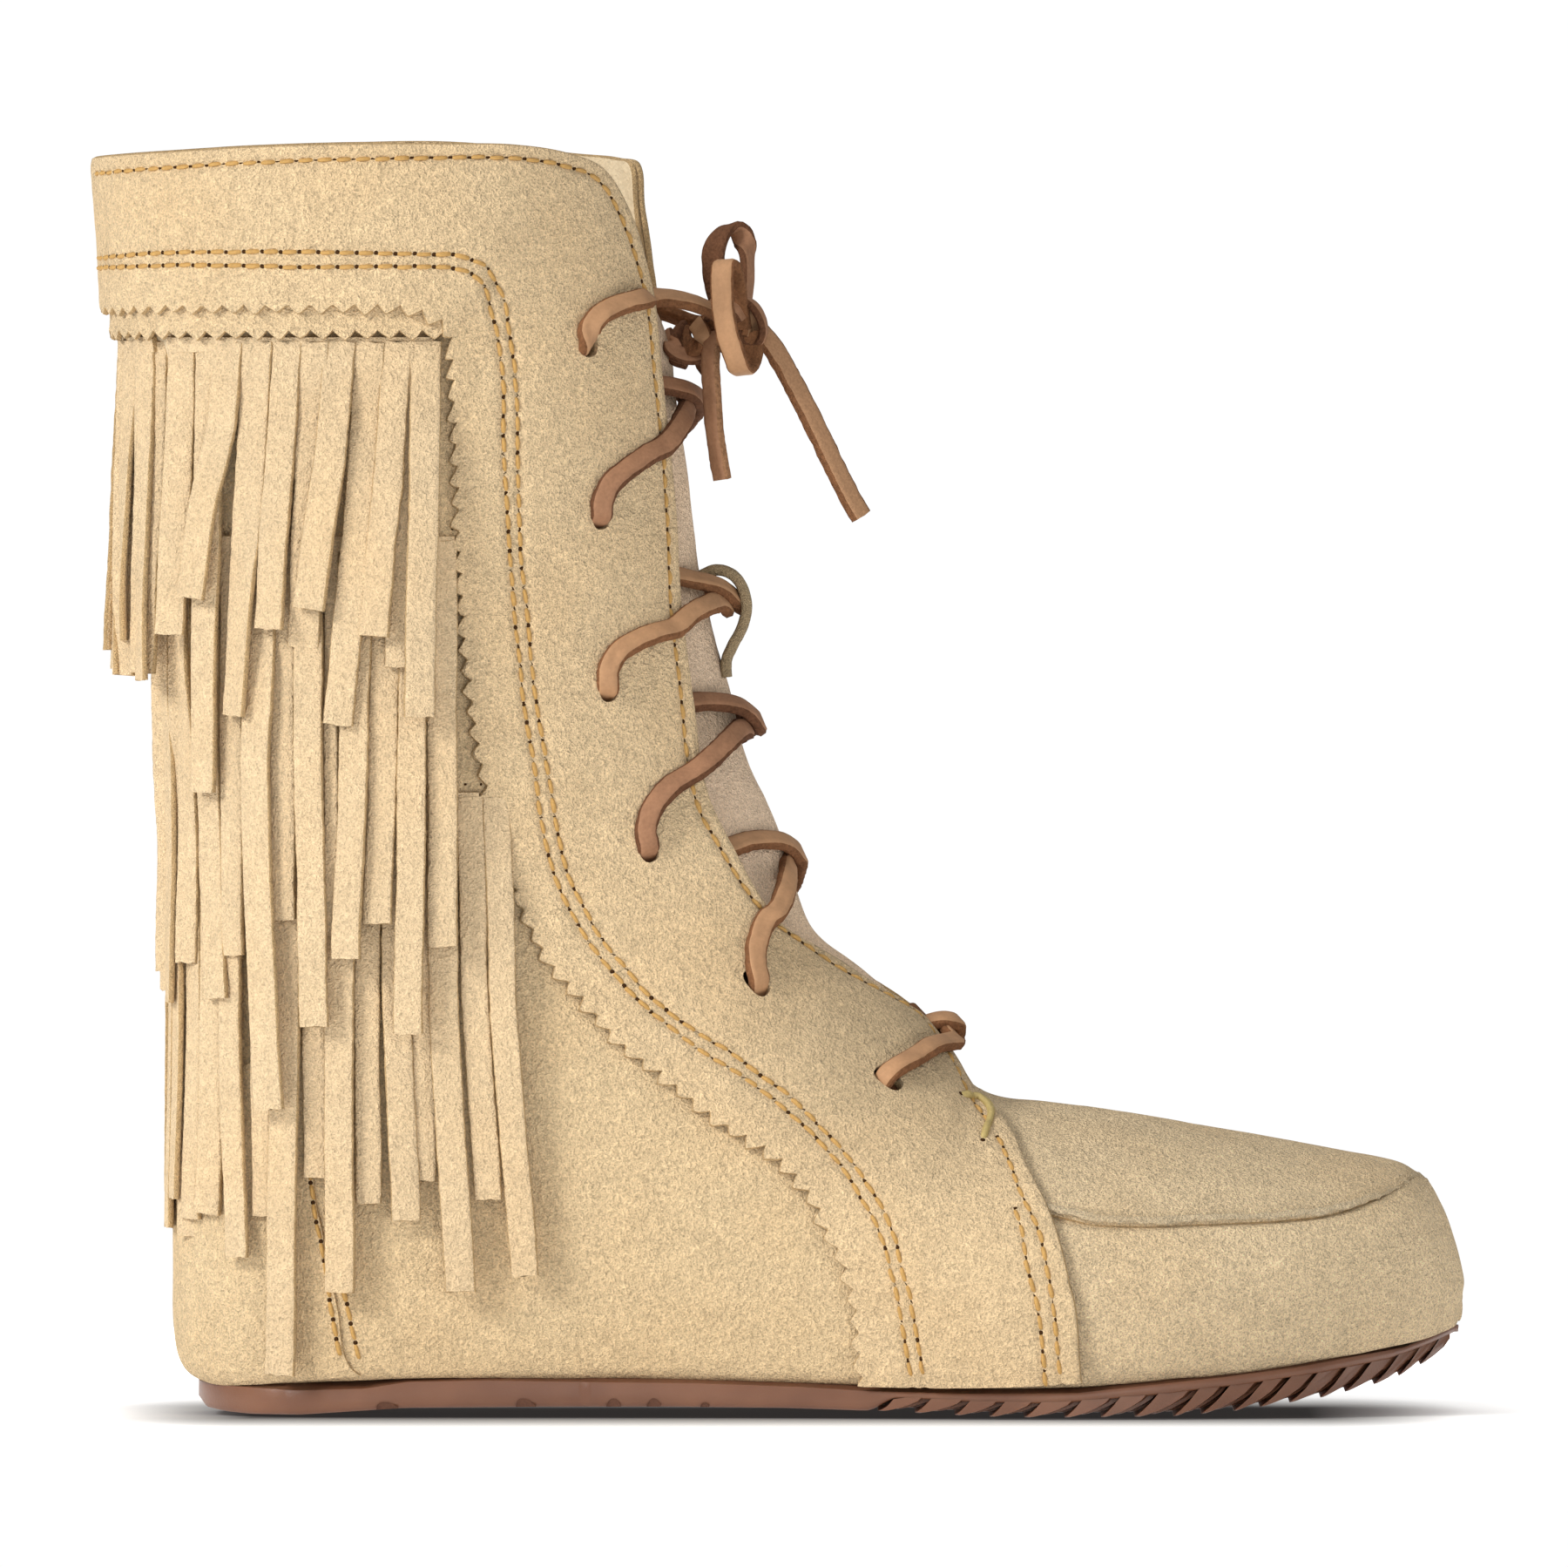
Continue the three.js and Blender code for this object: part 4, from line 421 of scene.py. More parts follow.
def line_noise(x, size, seed, y=0.0, z=0.0):
    """noise along a line; y and z pick the line"""
    return vnoise(np.stack(np.broadcast_arrays(x, y, z), -1), size, seed)


# ------------------------------------------------------------ surface of the upper
LAST_SECTION = len(SECTIONS) - 1
TABLE_STEPS = 500  # rows of the lookup table per section
SECTION_TABLE = spline(SECTIONS, np.linspace(0, LAST_SECTION, LAST_SECTION * TABLE_STEPS + 1))


def section(sec):
    """the columns of SECTIONS at any section number"""
    row = np.clip(np.asarray(sec, float), 0, LAST_SECTION) * TABLE_STEPS
    i = np.minimum(row.astype(np.int64), LAST_SECTION * TABLE_STEPS - 1)
    return lerp(SECTION_TABLE[i], SECTION_TABLE[i + 1], (row - i)[..., None])


def surf(sec, turn):
    """points of the surface"""
    sec, turn = np.broadcast_arrays(np.asarray(sec, float), np.asarray(turn, float))
    columns = np.moveaxis(section(sec), -1, 0)
    top_x, top_z, low_x, low_z, half, low_half, widest, round_a, round_b, centre = columns
    half = np.maximum(half, 0.05)
    low_half = np.clip(low_half, 0, half)
    size, sign = np.abs(turn), np.where(turn < 0, -1.0, 1.0)
    depth_a = widest * (1 - np.cos(np.minimum(size, 1) * math.pi / 2))
    bow = 1 - np.maximum(1 - depth_a / widest, 0) ** round_a
    width_a = half * np.maximum(bow, 0) ** (1 / round_a)
    swing = np.sin(np.clip(size - 1, 0, 1) * math.pi / 2)
    depth_b = widest + (1 - widest) * swing
    width_b = low_half + (half - low_half) * np.maximum(1 - swing**round_b, 0) ** (1 / round_b)
    depth = np.where(size <= 1, depth_a, depth_b)
    width = np.where(size <= 1, width_a, width_b)
    x, z = lerp(top_x, low_x, depth), lerp(top_z, low_z, depth)
    return np.stack([x, centre + sign * width, z], -1)


def normal(sec, turn):
    """outward unit normals of the surface"""
    sec, turn = np.broadcast_arrays(np.asarray(sec, float), np.asarray(turn, float))
    step = 2e-2
    row = section(sec)

    def wrapped(t):
        t = np.where(t > 2, t - 4, t)
        return surf(sec, np.where(t < -2, t + 4, t))

    along = surf(sec + step, turn) - surf(sec - step, turn)
    closed = row[..., 5] <= 0.05
    ahead = np.where(closed, turn + step, np.minimum(turn + step, 2))
    behind = np.where(closed, turn - step, np.maximum(turn - step, -2))
    out = unit(np.cross(along, wrapped(ahead) - wrapped(behind)))
    centre = np.stack([(row[..., 0] + row[..., 2]) / 2, row[..., 9],
                       (row[..., 1] + row[..., 3]) / 2], -1)
    inward = ((surf(sec, turn) - centre) * out).sum(-1, keepdims=True) < 0
    return np.where(inward, -out, out)


def skin(sec, turn):
    return surf(sec, turn), normal(sec, turn)


def lifted(sec, turn, lift):
    base, out = skin(sec, turn)
    return base + out * np.asarray(lift, float)[..., None]


_sec, _turn = np.meshgrid(np.linspace(0, LAST_SECTION, 341), np.linspace(0, 2, 121), indexing="ij")
_points = surf(_sec, _turn)
# sec, turn, x, z of a grid over one side, to start the search from
SIDE_GRID = np.stack([_sec.ravel(), _turn.ravel(), _points[..., 0].ravel(), _points[..., 2].ravel()], 1)


def from_side(x, z):
    """side-view points -> sec and |turn| arrays"""
    x, z = np.atleast_1d(np.asarray(x, float)), np.atleast_1d(np.asarray(z, float))
    sec, turn = np.empty(len(x)), np.empty(len(x))
    for i in range(0, len(x), 256):
        batch = slice(i, i + 256)
        gap = (SIDE_GRID[None, :, 2] - x[batch, None]) ** 2
        gap = gap + (SIDE_GRID[None, :, 3] - z[batch, None]) ** 2
        nearest = gap.argmin(1)
        sec[batch], turn[batch] = SIDE_GRID[nearest, 0], SIDE_GRID[nearest, 1]
    step = 2e-3
    for _ in range(12):
        point = surf(sec, turn)
        by_sec = (surf(sec + step, turn) - surf(sec - step, turn)) / (2 * step)
        high, low = np.minimum(turn + step, 2), np.maximum(turn - step, 0)
        by_turn = (surf(sec, high) - surf(sec, low)) / (high - low)[:, None]
        det = by_sec[:, 0] * by_turn[:, 2] - by_turn[:, 0] * by_sec[:, 2]
        solvable = np.abs(det) > 1e-6
        det = np.where(solvable, det, 1)
        off_x, off_z = x - point[:, 0], z - point[:, 2]
        move_sec = (off_x * by_turn[:, 2] - by_turn[:, 0] * off_z) / det
        move_turn = (by_sec[:, 0] * off_z - off_x * by_sec[:, 2]) / det
        sec = np.clip(sec + np.where(solvable, np.clip(move_sec, -0.3, 0.3), 0), 0, LAST_SECTION)
        turn = np.clip(turn + np.where(solvable, np.clip(move_turn, -0.3, 0.3), 0), 0, 2)
    return sec, turn


def table_on_surface(points):
    return from_side(*np.array(points, float).T)


def row_on_surface(points, step=0.5):
    """side-view outline -> sec and |turn| at evenly spaced points"""
    return from_side(*resample(points, step).T)


def at_height(turn, z):
    """section where the line at this turn reaches height z, above the foot"""
    turn, z = np.broadcast_arrays(np.asarray(turn, float), np.asarray(z, float))
    low, high = np.full(turn.shape, 17.0), np.full(turn.shape, float(LAST_SECTION))
    for _ in range(26):
        middle = (low + high) / 2
        below = surf(middle, turn)[..., 2] < z
        low, high = np.where(below, middle, low), np.where(below, high, middle)
    return (low + high) / 2


def back_section(z):
    return float(at_height(2.0, z))


def up_direction(sec, turn):
    return unit(surf(sec + 0.1, turn) - surf(sec - 0.1, turn))


# ------------------------------------------------------------ materials
def linear(red, green, blue):
    """0-255 sRGB to linear"""
    return tuple(
        c / 255 / 12.92 if c <= 10 else ((c / 255 + 0.055) / 1.055) ** 2.4
        for c in (red, green, blue)
    )


class Shader:
    """a material with one Principled shader, and the nodes that feed it"""

    def __init__(self, name):
        self.material = bpy.data.materials.new(name)
        self.material.use_nodes = True
        tree = self.material.node_tree
        self.nodes, self.links = tree.nodes, tree.links
        self.nodes.clear()
        output = self.node("OutputMaterial")
        self.surface = self.node("BsdfPrincipled")
        self.feed(output, {0: self.surface.outputs[0]})
        self.coords = self.node("TexCoord").outputs["Object"]

    def feed(self, node, inputs):
        """set or link inputs, given as {socket: number, tuple or output}"""
        for socket, value in inputs.items():
            if isinstance(value, bpy.types.NodeSocket):
                self.links.new(value, node.inputs[socket])
            else:
                node.inputs[socket].default_value = value

    def node(self, kind, inputs=None, **settings):
        node = self.nodes.new("ShaderNode" + kind)
        for key, value in settings.items():
            setattr(node, key, value)
        self.feed(node, inputs or {})
        return node

    def look(self, **inputs):
        """inputs of the Principled shader, with _ for the spaces"""
        self.feed(self.surface, {key.replace("_", " "): v for key, v in inputs.items()})

    def noise(self, size, detail=2.0, roughness=0.55, stretch=None):
        """noise with features of a size in mm"""
        inputs = {"Scale": 1000.0 / size, "Detail": detail, "Roughness": roughness}
        noise = self.node("TexNoise", inputs)
        coords = self.coords
        if stretch:
            coords = self.node("Mapping", {"Scale": stretch, 0: coords}).outputs[0]
        self.feed(noise, {"Vector": coords})
        return noise.outputs["Fac"]

    def remap(self, value, low, high, start=0.3, end=0.7):
        """low at start, high at end; start and end suit the middle of a noise"""
        return self.node("MapRange", {1: start, 2: end, 3: low, 4: high, 0: value}).outputs[0]

    def math(self, operation, first, second):
        return self.node("Math", {0: first, 1: second}, operation=operation).outputs[0]

    def product(self, first, second):
        return self.math("MULTIPLY", first, second)

    def tint(self, colour, factor):
        inputs = {0: colour, "Scale": factor}
        return self.node("VectorMath", inputs, operation="SCALE").outputs[0]

    def mix(self, colour_a, colour_b, factor):
        inputs = {6: (*colour_a, 1), 7: (*colour_b, 1), 0: factor}
        return self.node("Mix", inputs, data_type="RGBA").outputs[2]

    def length(self, steps):
        """length of the object coordinates after vector steps of (operation, vector)"""
        vector = self.coords
        for operation, operand in steps:
            inputs = {0: vector} if operand is None else {1: operand, 0: vector}
            vector = self.node("VectorMath", inputs, operation=operation).outputs[0]
        return self.node("VectorMath", {0: vector}, operation="LENGTH").outputs["Value"]

    def bump(self, height, distance):
        inputs = {"Strength": 1.0, "Distance": distance, "Height": height}
        self.feed(self.surface, {"Normal": self.node("Bump", inputs).outputs[0]})


def suede(name, colour, pile, grain=0.95):
    """napped leather; pile: strength of the nap, grain: its size in mm"""
    shader = Shader(name)
    nap = shader.noise(grain, detail=2.5, roughness=0.6)
    clumps = shader.noise(2.6, roughness=0.5)
    warmth = shader.noise(26.0, roughness=0.5)
    patches = shader.noise(9.0, roughness=0.6)
    fine = shader.noise(grain * 0.42, roughness=0.65)
    tone = shader.remap(nap, low=1 - 0.13 * pile, high=1 + 0.11 * pile)
    # how much each noise darkens and lightens
    for noise, darker, lighter in (
        (fine, 0.24 * pile, 0.19 * pile),
        (clumps, 0.045 * pile, 0.04 * pile),
        (patches, 0.05, 0.04),
    ):
        tone = shader.product(tone, shader.remap(noise, low=1 - darker, high=1 + lighter))
    if name == "suede":
        # a little less light where the facing turns up to the instep
        instep = shader.length([("SUBTRACT", (0.122, 0, 0.082)), ("MULTIPLY", (1, 0, 1))])
        shade = shader.remap(instep, low=0.74, high=1.0, start=0.010, end=0.040)
        tone = shader.product(tone, shade)
    warm_share = shader.remap(warmth, low=0.0, high=0.22, start=0.45, end=0.8)
    blend = shader.mix(linear(*colour), linear(238, 196, 140), warm_share)
    shader.look(
        Base_Color=shader.tint(blend, tone),
        Roughness=0.95,
        Specular_IOR_Level=0.12,
        Sheen_Weight=0.18,
        Sheen_Roughness=0.6,
        Sheen_Tint=(*linear(255, 240, 214), 1),
    )
    height = shader.math("ADD", shader.product(nap, 1.0), shader.product(clumps, 0.7))
    height = shader.math("ADD", height, shader.product(fine, 0.55))
    shader.bump(height, distance=0.00135 * pile)
    return shader.material


def leather(name, colour, roughness, grain_height, contrast):
    """lace leather; grain_height in metres, contrast of the fine mottling"""
    shader = Shader(name)
    grain = shader.noise(0.7, detail=3.0, roughness=0.6)
    patches = shader.noise(5.0, roughness=0.5)
    streaks = shader.noise(2.0, roughness=0.5, stretch=(1.0, 1.0, 0.25))
    tone = shader.product(
        shader.remap(grain, low=1 - contrast, high=1 + contrast),
        shader.remap(patches, low=0.88, high=1.1),
    )
    tone = shader.product(tone, shader.remap(streaks, low=0.95, high=1.05))
    shader.look(
        Base_Color=shader.tint(linear(*colour), tone),
        Roughness=roughness,
        Specular_IOR_Level=0.2 if roughness < 0.7 else 0.1,
    )
    shader.bump(shader.math("ADD", grain, patches), distance=grain_height)
    return shader.material


def plain(name, colour, roughness, specular=0.3):
    """lightly mottled colour"""
    shader = Shader(name)
    tone = shader.remap(shader.noise(0.5), low=0.85, high=1.12)
    shader.look(
        Base_Color=shader.tint(linear(*colour), tone),
        Roughness=roughness,
        Specular_IOR_Level=specular,
    )
    return shader.material


def rubber():
    shader = Shader("outsole_rubber")
    clouds = shader.noise(18.0)
    grain = shader.noise(0.5)
    share = shader.remap(clouds, low=0, high=1, start=0.35, end=0.65)
    shader.look(
        Base_Color=shader.mix(linear(121, 82, 60), linear(106, 70, 51), share),
        Roughness=0.36,
        Specular_IOR_Level=0.45,
        Subsurface_Weight=0.12,
        Subsurface_Radius=(1.0, 0.45, 0.2),
        Subsurface_Scale=0.003,
    )
    shader.bump(grain, distance=0.00004)
    return shader.material


SUEDES = {
    "suede": dict(colour=(238, 209, 165), pile=1.25),
    "suede_quarter": dict(colour=(234, 206, 162), pile=1.25),
    "suede_vamp": dict(colour=(250, 223, 180), pile=1.55, grain=0.8),
    "suede_seam": dict(colour=(250, 226, 186), pile=1.7, grain=0.6),
    "suede_fringe": dict(colour=(228, 201, 161), pile=0.95),
    "suede_edge": dict(colour=(214, 180, 130), pile=1.0, grain=0.6),
    "tongue_suede": dict(colour=(246, 217, 186), pile=0.9, grain=0.8),
    "lining": dict(colour=(214, 196, 164), pile=0.35, grain=1.4),
    "keeper": dict(colour=(172, 150, 116), pile=0.9, grain=0.7),
}
LEATHERS = {
    "lace_grain": dict(colour=(171, 131, 96), roughness=0.62, grain_height=0.00002, contrast=0.07),
    "lace_grain_dark": dict(
        colour=(150, 110, 82), roughness=0.68, grain_height=0.00004, contrast=0.11),
    "lace_flesh": dict(colour=(122, 84, 57), roughness=0.95, grain_height=0.0005, contrast=0.25),
    "lace_fuzz": dict(colour=(148, 110, 80), roughness=0.95, grain_height=0.0005, contrast=0.28),
    "lace_flesh_dark": dict(
        colour=(102, 69, 49), roughness=0.95, grain_height=0.0005, contrast=0.25),
}
PLAINS = {
    "lace_end": dict(colour=(162, 124, 92), roughness=0.7, specular=0.15),
    "thread": dict(colour=(186, 146, 84), roughness=0.6),
    "thread_thick": dict(colour=(176, 156, 100), roughness=0.55),
    # painted shade: the dark colour of the discs at the needle holes
    "hole": dict(colour=(62, 40, 20), roughness=0.9, specular=0.1),
    "slot_dark": dict(colour=(58, 36, 24), roughness=0.95, specular=0.05),
    "board": dict(colour=(176, 150, 116), roughness=0.9),
    "foam": dict(colour=(196, 176, 140), roughness=0.9),
}
MATERIALS = {}
for recipe, table in ((suede, SUEDES), (leather, LEATHERS), (plain, PLAINS)):
    for key, values in table.items():
        MATERIALS[key] = recipe(key, **values)
MATERIALS["rubber"] = rubber()
# painted shade for the small hollows in the side of the sole
MATERIALS["rubber_hollow_shade"] = plain("rubber_hollow_shade", colour=(88, 56, 40), roughness=0.6)


# ------------------------------------------------------------ mesh helpers
# A part is (vertices, list of face arrays, material name or one name per face array).
def volume(verts, faces):
    total = 0.0
    for face in faces:
        first = verts[face[:, 0]]
        for k in range(1, face.shape[1] - 1):
            cross = np.cross(verts[face[:, k]], verts[face[:, k + 1]])
            total += np.einsum("ij,ij->i", first, cross).sum()
    return total


def join(parts, outward=True):
    """vertices and faces of all parts, facing outward if asked"""
    all_verts, all_faces, base = [], [], 0
    for verts, faces, _ in parts:
        flip = outward and volume(verts, faces) < 0
        for face in faces:
            all_faces.extend(((face[:, ::-1] if flip else face) + base).tolist())
        all_verts.append(verts)
        base += len(verts)
    return np.concatenate(all_verts), all_faces


def new_mesh(name, parts):
    verts, faces = join(parts)
    mesh = bpy.data.meshes.new(name)
    mesh.from_pydata((verts * 0.001).tolist(), [], faces)
    return mesh


def new_object(name, data):
    obj = bpy.data.objects.new(name, data)
    bpy.context.scene.collection.objects.link(obj)
    return obj


def make(name, parts, body="boot", replaces=(), angle=50.0, blend=None):
    """one object from parts; edges sharper than the angle in degrees stay sharp"""
    mesh = new_mesh(name, parts)
    used, index = [], []
    for _, faces, mats in parts:
        for face, mat in zip(faces, [mats] * len(faces) if isinstance(mats, str) else mats):
            if mat not in used:
                used.append(mat)
            index.append(np.full(len(face), used.index(mat)))
    for mat in used:
        mesh.materials.append(MATERIALS[mat])
    mesh.polygons.foreach_set("material_index", np.concatenate(index).astype(np.int32))
    mesh.polygons.foreach_set("use_smooth", np.ones(len(mesh.polygons), bool))
    mesh.update()
    if angle:
        mesh.set_sharp_from_angle(angle=math.radians(angle))
    obj = new_object(name, mesh)
    if blend:
        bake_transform(obj)
    else:
        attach(obj, body)
    if replaces:
        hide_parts(*replaces)
    return obj


def grid_quads(rows, columns):
    ids = np.arange(rows * columns).reshape(rows, columns)
    quads = [ids[:-1, :-1], ids[1:, :-1], ids[1:, 1:], ids[:-1, 1:]]
    return np.stack(quads, -1).reshape(-1, 4)


def ring_quads(rings, sides):
    """quads between closed rings as (rings - 1, sides, 4), and the two caps"""
    ids = np.arange(rings * sides).reshape(rings, sides)
    after = np.roll(ids, -1, axis=1)
    quads = np.stack([ids[:-1], after[:-1], after[1:], ids[1:]], -1)
    return quads, [ids[:1, ::-1], ids[-1:]]


def loft(verts, rings, sides, mat):
    """capped part through closed rings"""
    quads, caps = ring_quads(rings, sides)
    return np.asarray(verts, float).reshape(-1, 3), [quads.reshape(-1, 4), *caps], mat


def unit_ball(rings, sides):
    polar, around = np.meshgrid(
        np.linspace(0, math.pi, rings), np.linspace(0, 2 * math.pi, sides), indexing="ij")
    x, y = np.sin(polar) * np.cos(around), np.sin(polar) * np.sin(around)
    return np.stack([x, y, np.cos(polar)], -1)


def slab(top, bottom, bulge=0.3, face="suede", edge="suede_edge", back=None):
    """closed sheet from two grids (rows, columns, 3), with rounded edges"""
    rows, columns = top.shape[:2]
    count = rows * columns
    ids = np.arange(count).reshape(rows, columns)
    rim = np.concatenate([ids[0, :], ids[1:, -1], ids[-1, -2::-1], ids[-2:0:-1, 0]])
    inner = np.concatenate([ids[1, :], ids[1:, -2], ids[-2, -2::-1], ids[-2:0:-1, 1]])
    top, bottom = top.reshape(-1, 3), bottom.reshape(-1, 3)
    out = unit(top[rim] - top[inner])
    thick = length_of(top[rim] - bottom[rim])[:, None]
    middle = (top[rim] + bottom[rim]) / 2 + out * bulge * thick
    quads = grid_quads(rows, columns)
    here = 2 * count + np.arange(len(rim))
    after, rim_after = np.roll(here, -1), np.roll(rim, -1)
    upper = np.stack([rim, rim_after, after, here], 1)
    lower = np.stack([here, after, count + rim_after, count + rim], 1)
    faces = [quads, quads[:, [0, 3, 2, 1]] + count, np.concatenate([upper, lower])]
    return np.concatenate([top, bottom, middle]), faces, [face, back or face, edge]


def strap(path, wide, width, thick, mats, seed, cells=6, edge_points=3, corner=0.28,
          rough_edge=0.0, rough_face=0.0, cup=0.0, cap=0.0):
    """closed strap along a path; wide: direction(s) of its width; mats: outer face,
    inner face, edges; corner: rounding; cup: hollow across; cap: ragged ends"""
    count = len(path)
    tangent = tangents(path)
    wide = perpendicular(np.asarray(wide, float), tangent)
    out = np.cross(tangent, wide)
    half_width = np.broadcast_to(np.asarray(width, float) / 2, (count,))[:, None]
    half_thick = thick / 2
    across = np.linspace(-1, 1, cells + 1)
    down = np.linspace(1, -1, edge_points + 2)[1:-1]
    flat, upright = np.ones(cells + 1), np.ones(edge_points)
    x = np.concatenate([across, upright, across[::-1], -upright])
    y = np.concatenate([flat, down, -flat, down[::-1]])
    # 0 outer face, 1 and 3 edges, 2 inner face
    kind = np.repeat([0, 1, 2, 3], [cells + 1, edge_points, cells + 1, edge_points])
    is_corner = (np.abs(x) == 1) & (np.abs(y) == 1)
    side_way = x * half_width - np.sign(x) * is_corner * corner * half_thick * 0.9
    out_way = y * half_thick - np.sign(y) * is_corner * corner * half_thick * 0.7
    out_way = out_way - cup * (x * x) * half_width
    verts = path[:, None] + wide[:, None] * side_way[..., None] + out[:, None] * out_way[..., None]
    frays = relief(verts, (0.7, 0.9, seed), (0.6, 2.3, seed + 3))
    edge_share = (np.isin(kind, (1, 3)) + is_corner * 0.7) * np.sign(x) * rough_edge
    verts += wide[:, None] * (frays * edge_share)[..., None]
    face_share = ((kind == 0) * 1.0 - (kind == 2)) * rough_face
    verts += out[:, None] * (vnoise(verts, 1.3, seed + 5) * face_share)[..., None]
    for end, sign in ((0, -1), (-1, 1)):
        ragged = vnoise(verts[end], 1.2, seed + 9) * 0.5 + 0.5
        verts[end] += sign * tangent[end] * cap * ragged[:, None]
    quads, caps = ring_quads(count, len(x))
    after = np.roll(kind, -1)
    strip = np.where(kind == after, kind, 1)
    faces = [quads[:, group].reshape(-1, 4) for group in (strip == 0, strip == 2, strip % 2 == 1)]
    return verts.reshape(-1, 3), faces + caps, [mats[0], mats[1], mats[2], mats[2], mats[2]]


def tube(path, radius, sides, mat):
    tangent = tangents(path)
    first = unit(np.cross(tangent, np.array([0.31, 0.17, 0.93])))
    second = np.cross(tangent, first)
    radius = np.broadcast_to(np.asarray(radius, float), (len(path),))
    angle = (np.arange(sides) * 2 * math.pi / sides)[None, :, None]
    ring = first[:, None] * np.cos(angle) + second[:, None] * np.sin(angle)
    return loft(path[:, None] + ring * radius[:, None, None], len(path), sides, mat)


# ------------------------------------------------------------ front panels
PANEL_THICK = 1.35
PANEL_STEP = 0.62
TOOTH_PITCH = 4.35  # of the pinked edges


def panel_edge(side_view, back_z):
    """sec and turn of a panel edge, begun on the back line"""
    sec, turn = table_on_surface(side_view)
    return np.stack([np.append(back_section(back_z), sec), np.append(2.0, turn)], 1)


FACING_EDGE = panel_edge(FACING_OUTLINE, 254.0)
FACING_EDGE_MEDIAL = FACING_EDGE.copy()
for point_number, (x, z) in FACING_OUTLINE_MEDIAL.items():
    FACING_EDGE_MEDIAL[point_number + 1] = np.ravel(from_side(x, z))
PINKED_EDGE = panel_edge(PINKED_OUTLINE, 225.0)
PANEL_END = len(FACING_EDGE) - 1


def panel_at(station, across, side=-1):
    """sec and turn; station counts outline points, across is 0 at the pinked edge"""
    facing = spline(FACING_EDGE if side < 0 else FACING_EDGE_MEDIAL, station)
    pinked = spline(PINKED_EDGE, station)
    place = lerp(pinked, facing, np.asarray(across, float)[..., None])
    return place[..., 0], np.minimum(place[..., 1], 2.0)


def panel_edges(station, side):
    """points along the pinked and the facing edge"""
    return [surf(*panel_at(station, across, side)) for across in (0.0, 1.0)]


def collar_share(station):
    return 1 - smooth(5, 9, station)


def panel_lift(station, across):
    collar = collar_share(station) * lerp(2.9, 1.6, np.clip(across, 0, 1))
    return 0.5 + collar + 0.55 * smooth(20, 25, station)


def facing_row(side, inset=3.3):
    """stitch row from the back seam down along the facing"""
    station = np.linspace(0.25, 23.2, 900)
    pinked, facing = panel_edges(station, side)
    return panel_at(station, 1 - inset / length_of(pinked - facing), side)


def teeth(run, depth, rate, phase):
    """number and depth of the pinking at each distance; depths vary as a sine"""
    number = np.floor(run / TOOTH_PITCH)
    place = run / TOOTH_PITCH - number
    shape = np.clip(1 - np.abs(2 * place - 1), 0, 1) ** 0.75
    return number, depth * (1 + 0.12 * np.sin(number * rate + phase)) * shape


def distance_to(points, targets):
    tree = KDTree(len(targets))
    for i, target in enumerate(targets.tolist()):
        tree.insert(target, i)
    tree.balance()
    return np.array([tree.find(point)[2] for point in points.tolist()])


def front_panel(side):
    fine = np.linspace(0, PANEL_END, 2701)
    pinked, facing = panel_edges(fine, side)
    pinked_run = run_along(pinked)
    run = (pinked_run + run_along(facing)) / 2
    station = np.interp(np.linspace(0, run[-1], int(run[-1] / PANEL_STEP)), run, fine)
    along = np.interp(station, fine, pinked_run)
    width = np.interp(station, fine, length_of(pinked - facing))
    number, tooth = teeth(along, depth=1.95, rate=2.4, phase=0.7)
    fade = smooth(0, 3, along)
    start = (-(tooth * fade + 0.12 * line_noise(along, 0.8, 4)) / width)[:, None]
    across = lerp(start, 1, np.linspace(0, 1, int(44 / PANEL_STEP) + 1))
    station, width = station[:, None], width[:, None]
    sec, turn = panel_at(station, across, side)
    base, out = skin(sec, side * np.minimum(turn, 1.9965))
    lift = panel_lift(station, across)
    outer = base + out * (lift + PANEL_THICK)[..., None]
    # the pinked edge stands up a little and both rims are rounded off
    from_pinked, from_facing = (across - start) * width, (1 - across) * width
    shape = relief(outer, (0.30, 17, 2), (0.12, 6.5, 3), (0.05, 2.2, 5))
    curl = (1 + 0.5 * np.sin(number * 1.7)) * fade
    shape += 0.28 * np.exp(-from_pinked / 2.2) * curl[:, None]
    shape -= 0.22 * bell(from_facing, 0.9) + 0.30 * bell(from_pinked, 0.8)
    # stitching draws the leather in
    rows = [row_on_surface(row) for row in SEWN_ROWS + [VAMP_ROW_CROSS]] + [facing_row(side)]
    sewn = np.concatenate(
        [lifted(row_sec, side * row_turn, h) for row_sec, row_turn in rows for h in (1.9, 3.2)])
    gap = distance_to(outer.reshape(-1, 3), sewn[:: (1)])
    groove = bell(np.sqrt(np.maximum(gap**2 - 0.25, 0)), 0.66).reshape(shape.shape)
    shape -= groove * 0.6
    shape += 0.10 * groove * vnoise(outer, 1.9, 8)
    under = base + out * (lift + 0.35 * shape - 0.02)[..., None]
    return slab(outer + out * shape[..., None], under, bulge=0.25)


def facing_lining(side):
    """sheet behind the panel, flush with the facing edge"""
    station = np.linspace(4.6, 22.4, 190)[:, None]
    inward = np.linspace(0, 1, 24)
    sec, turn = panel_at(station, 0.5 + 0.494 * inward, side)
    lift = -1.0 + collar_share(station) * lerp(1.2, 2.0, inward) + 0.1 * smooth(20, 25, station)
    outer = lifted(sec, side * turn, lift + 1.3)
    outer += normal(sec, side * turn) * relief(outer, (0.12, 8, 12))[..., None]
    under = lifted(sec, side * turn, lift)
    return slab(outer, under, face="suede_edge", back="lining")


def slot_frame(x, z, side):
    """centre, outward, upward and crosswise directions of a lace slot"""
    sec, turn = from_side(x, z)
    sec, turn = float(sec[0]), side * float(turn[0])
    centre, out = skin(sec, turn)
    up = perpendicular(up_direction(sec, turn), out)
    return centre, out, up, np.cross(up, out)


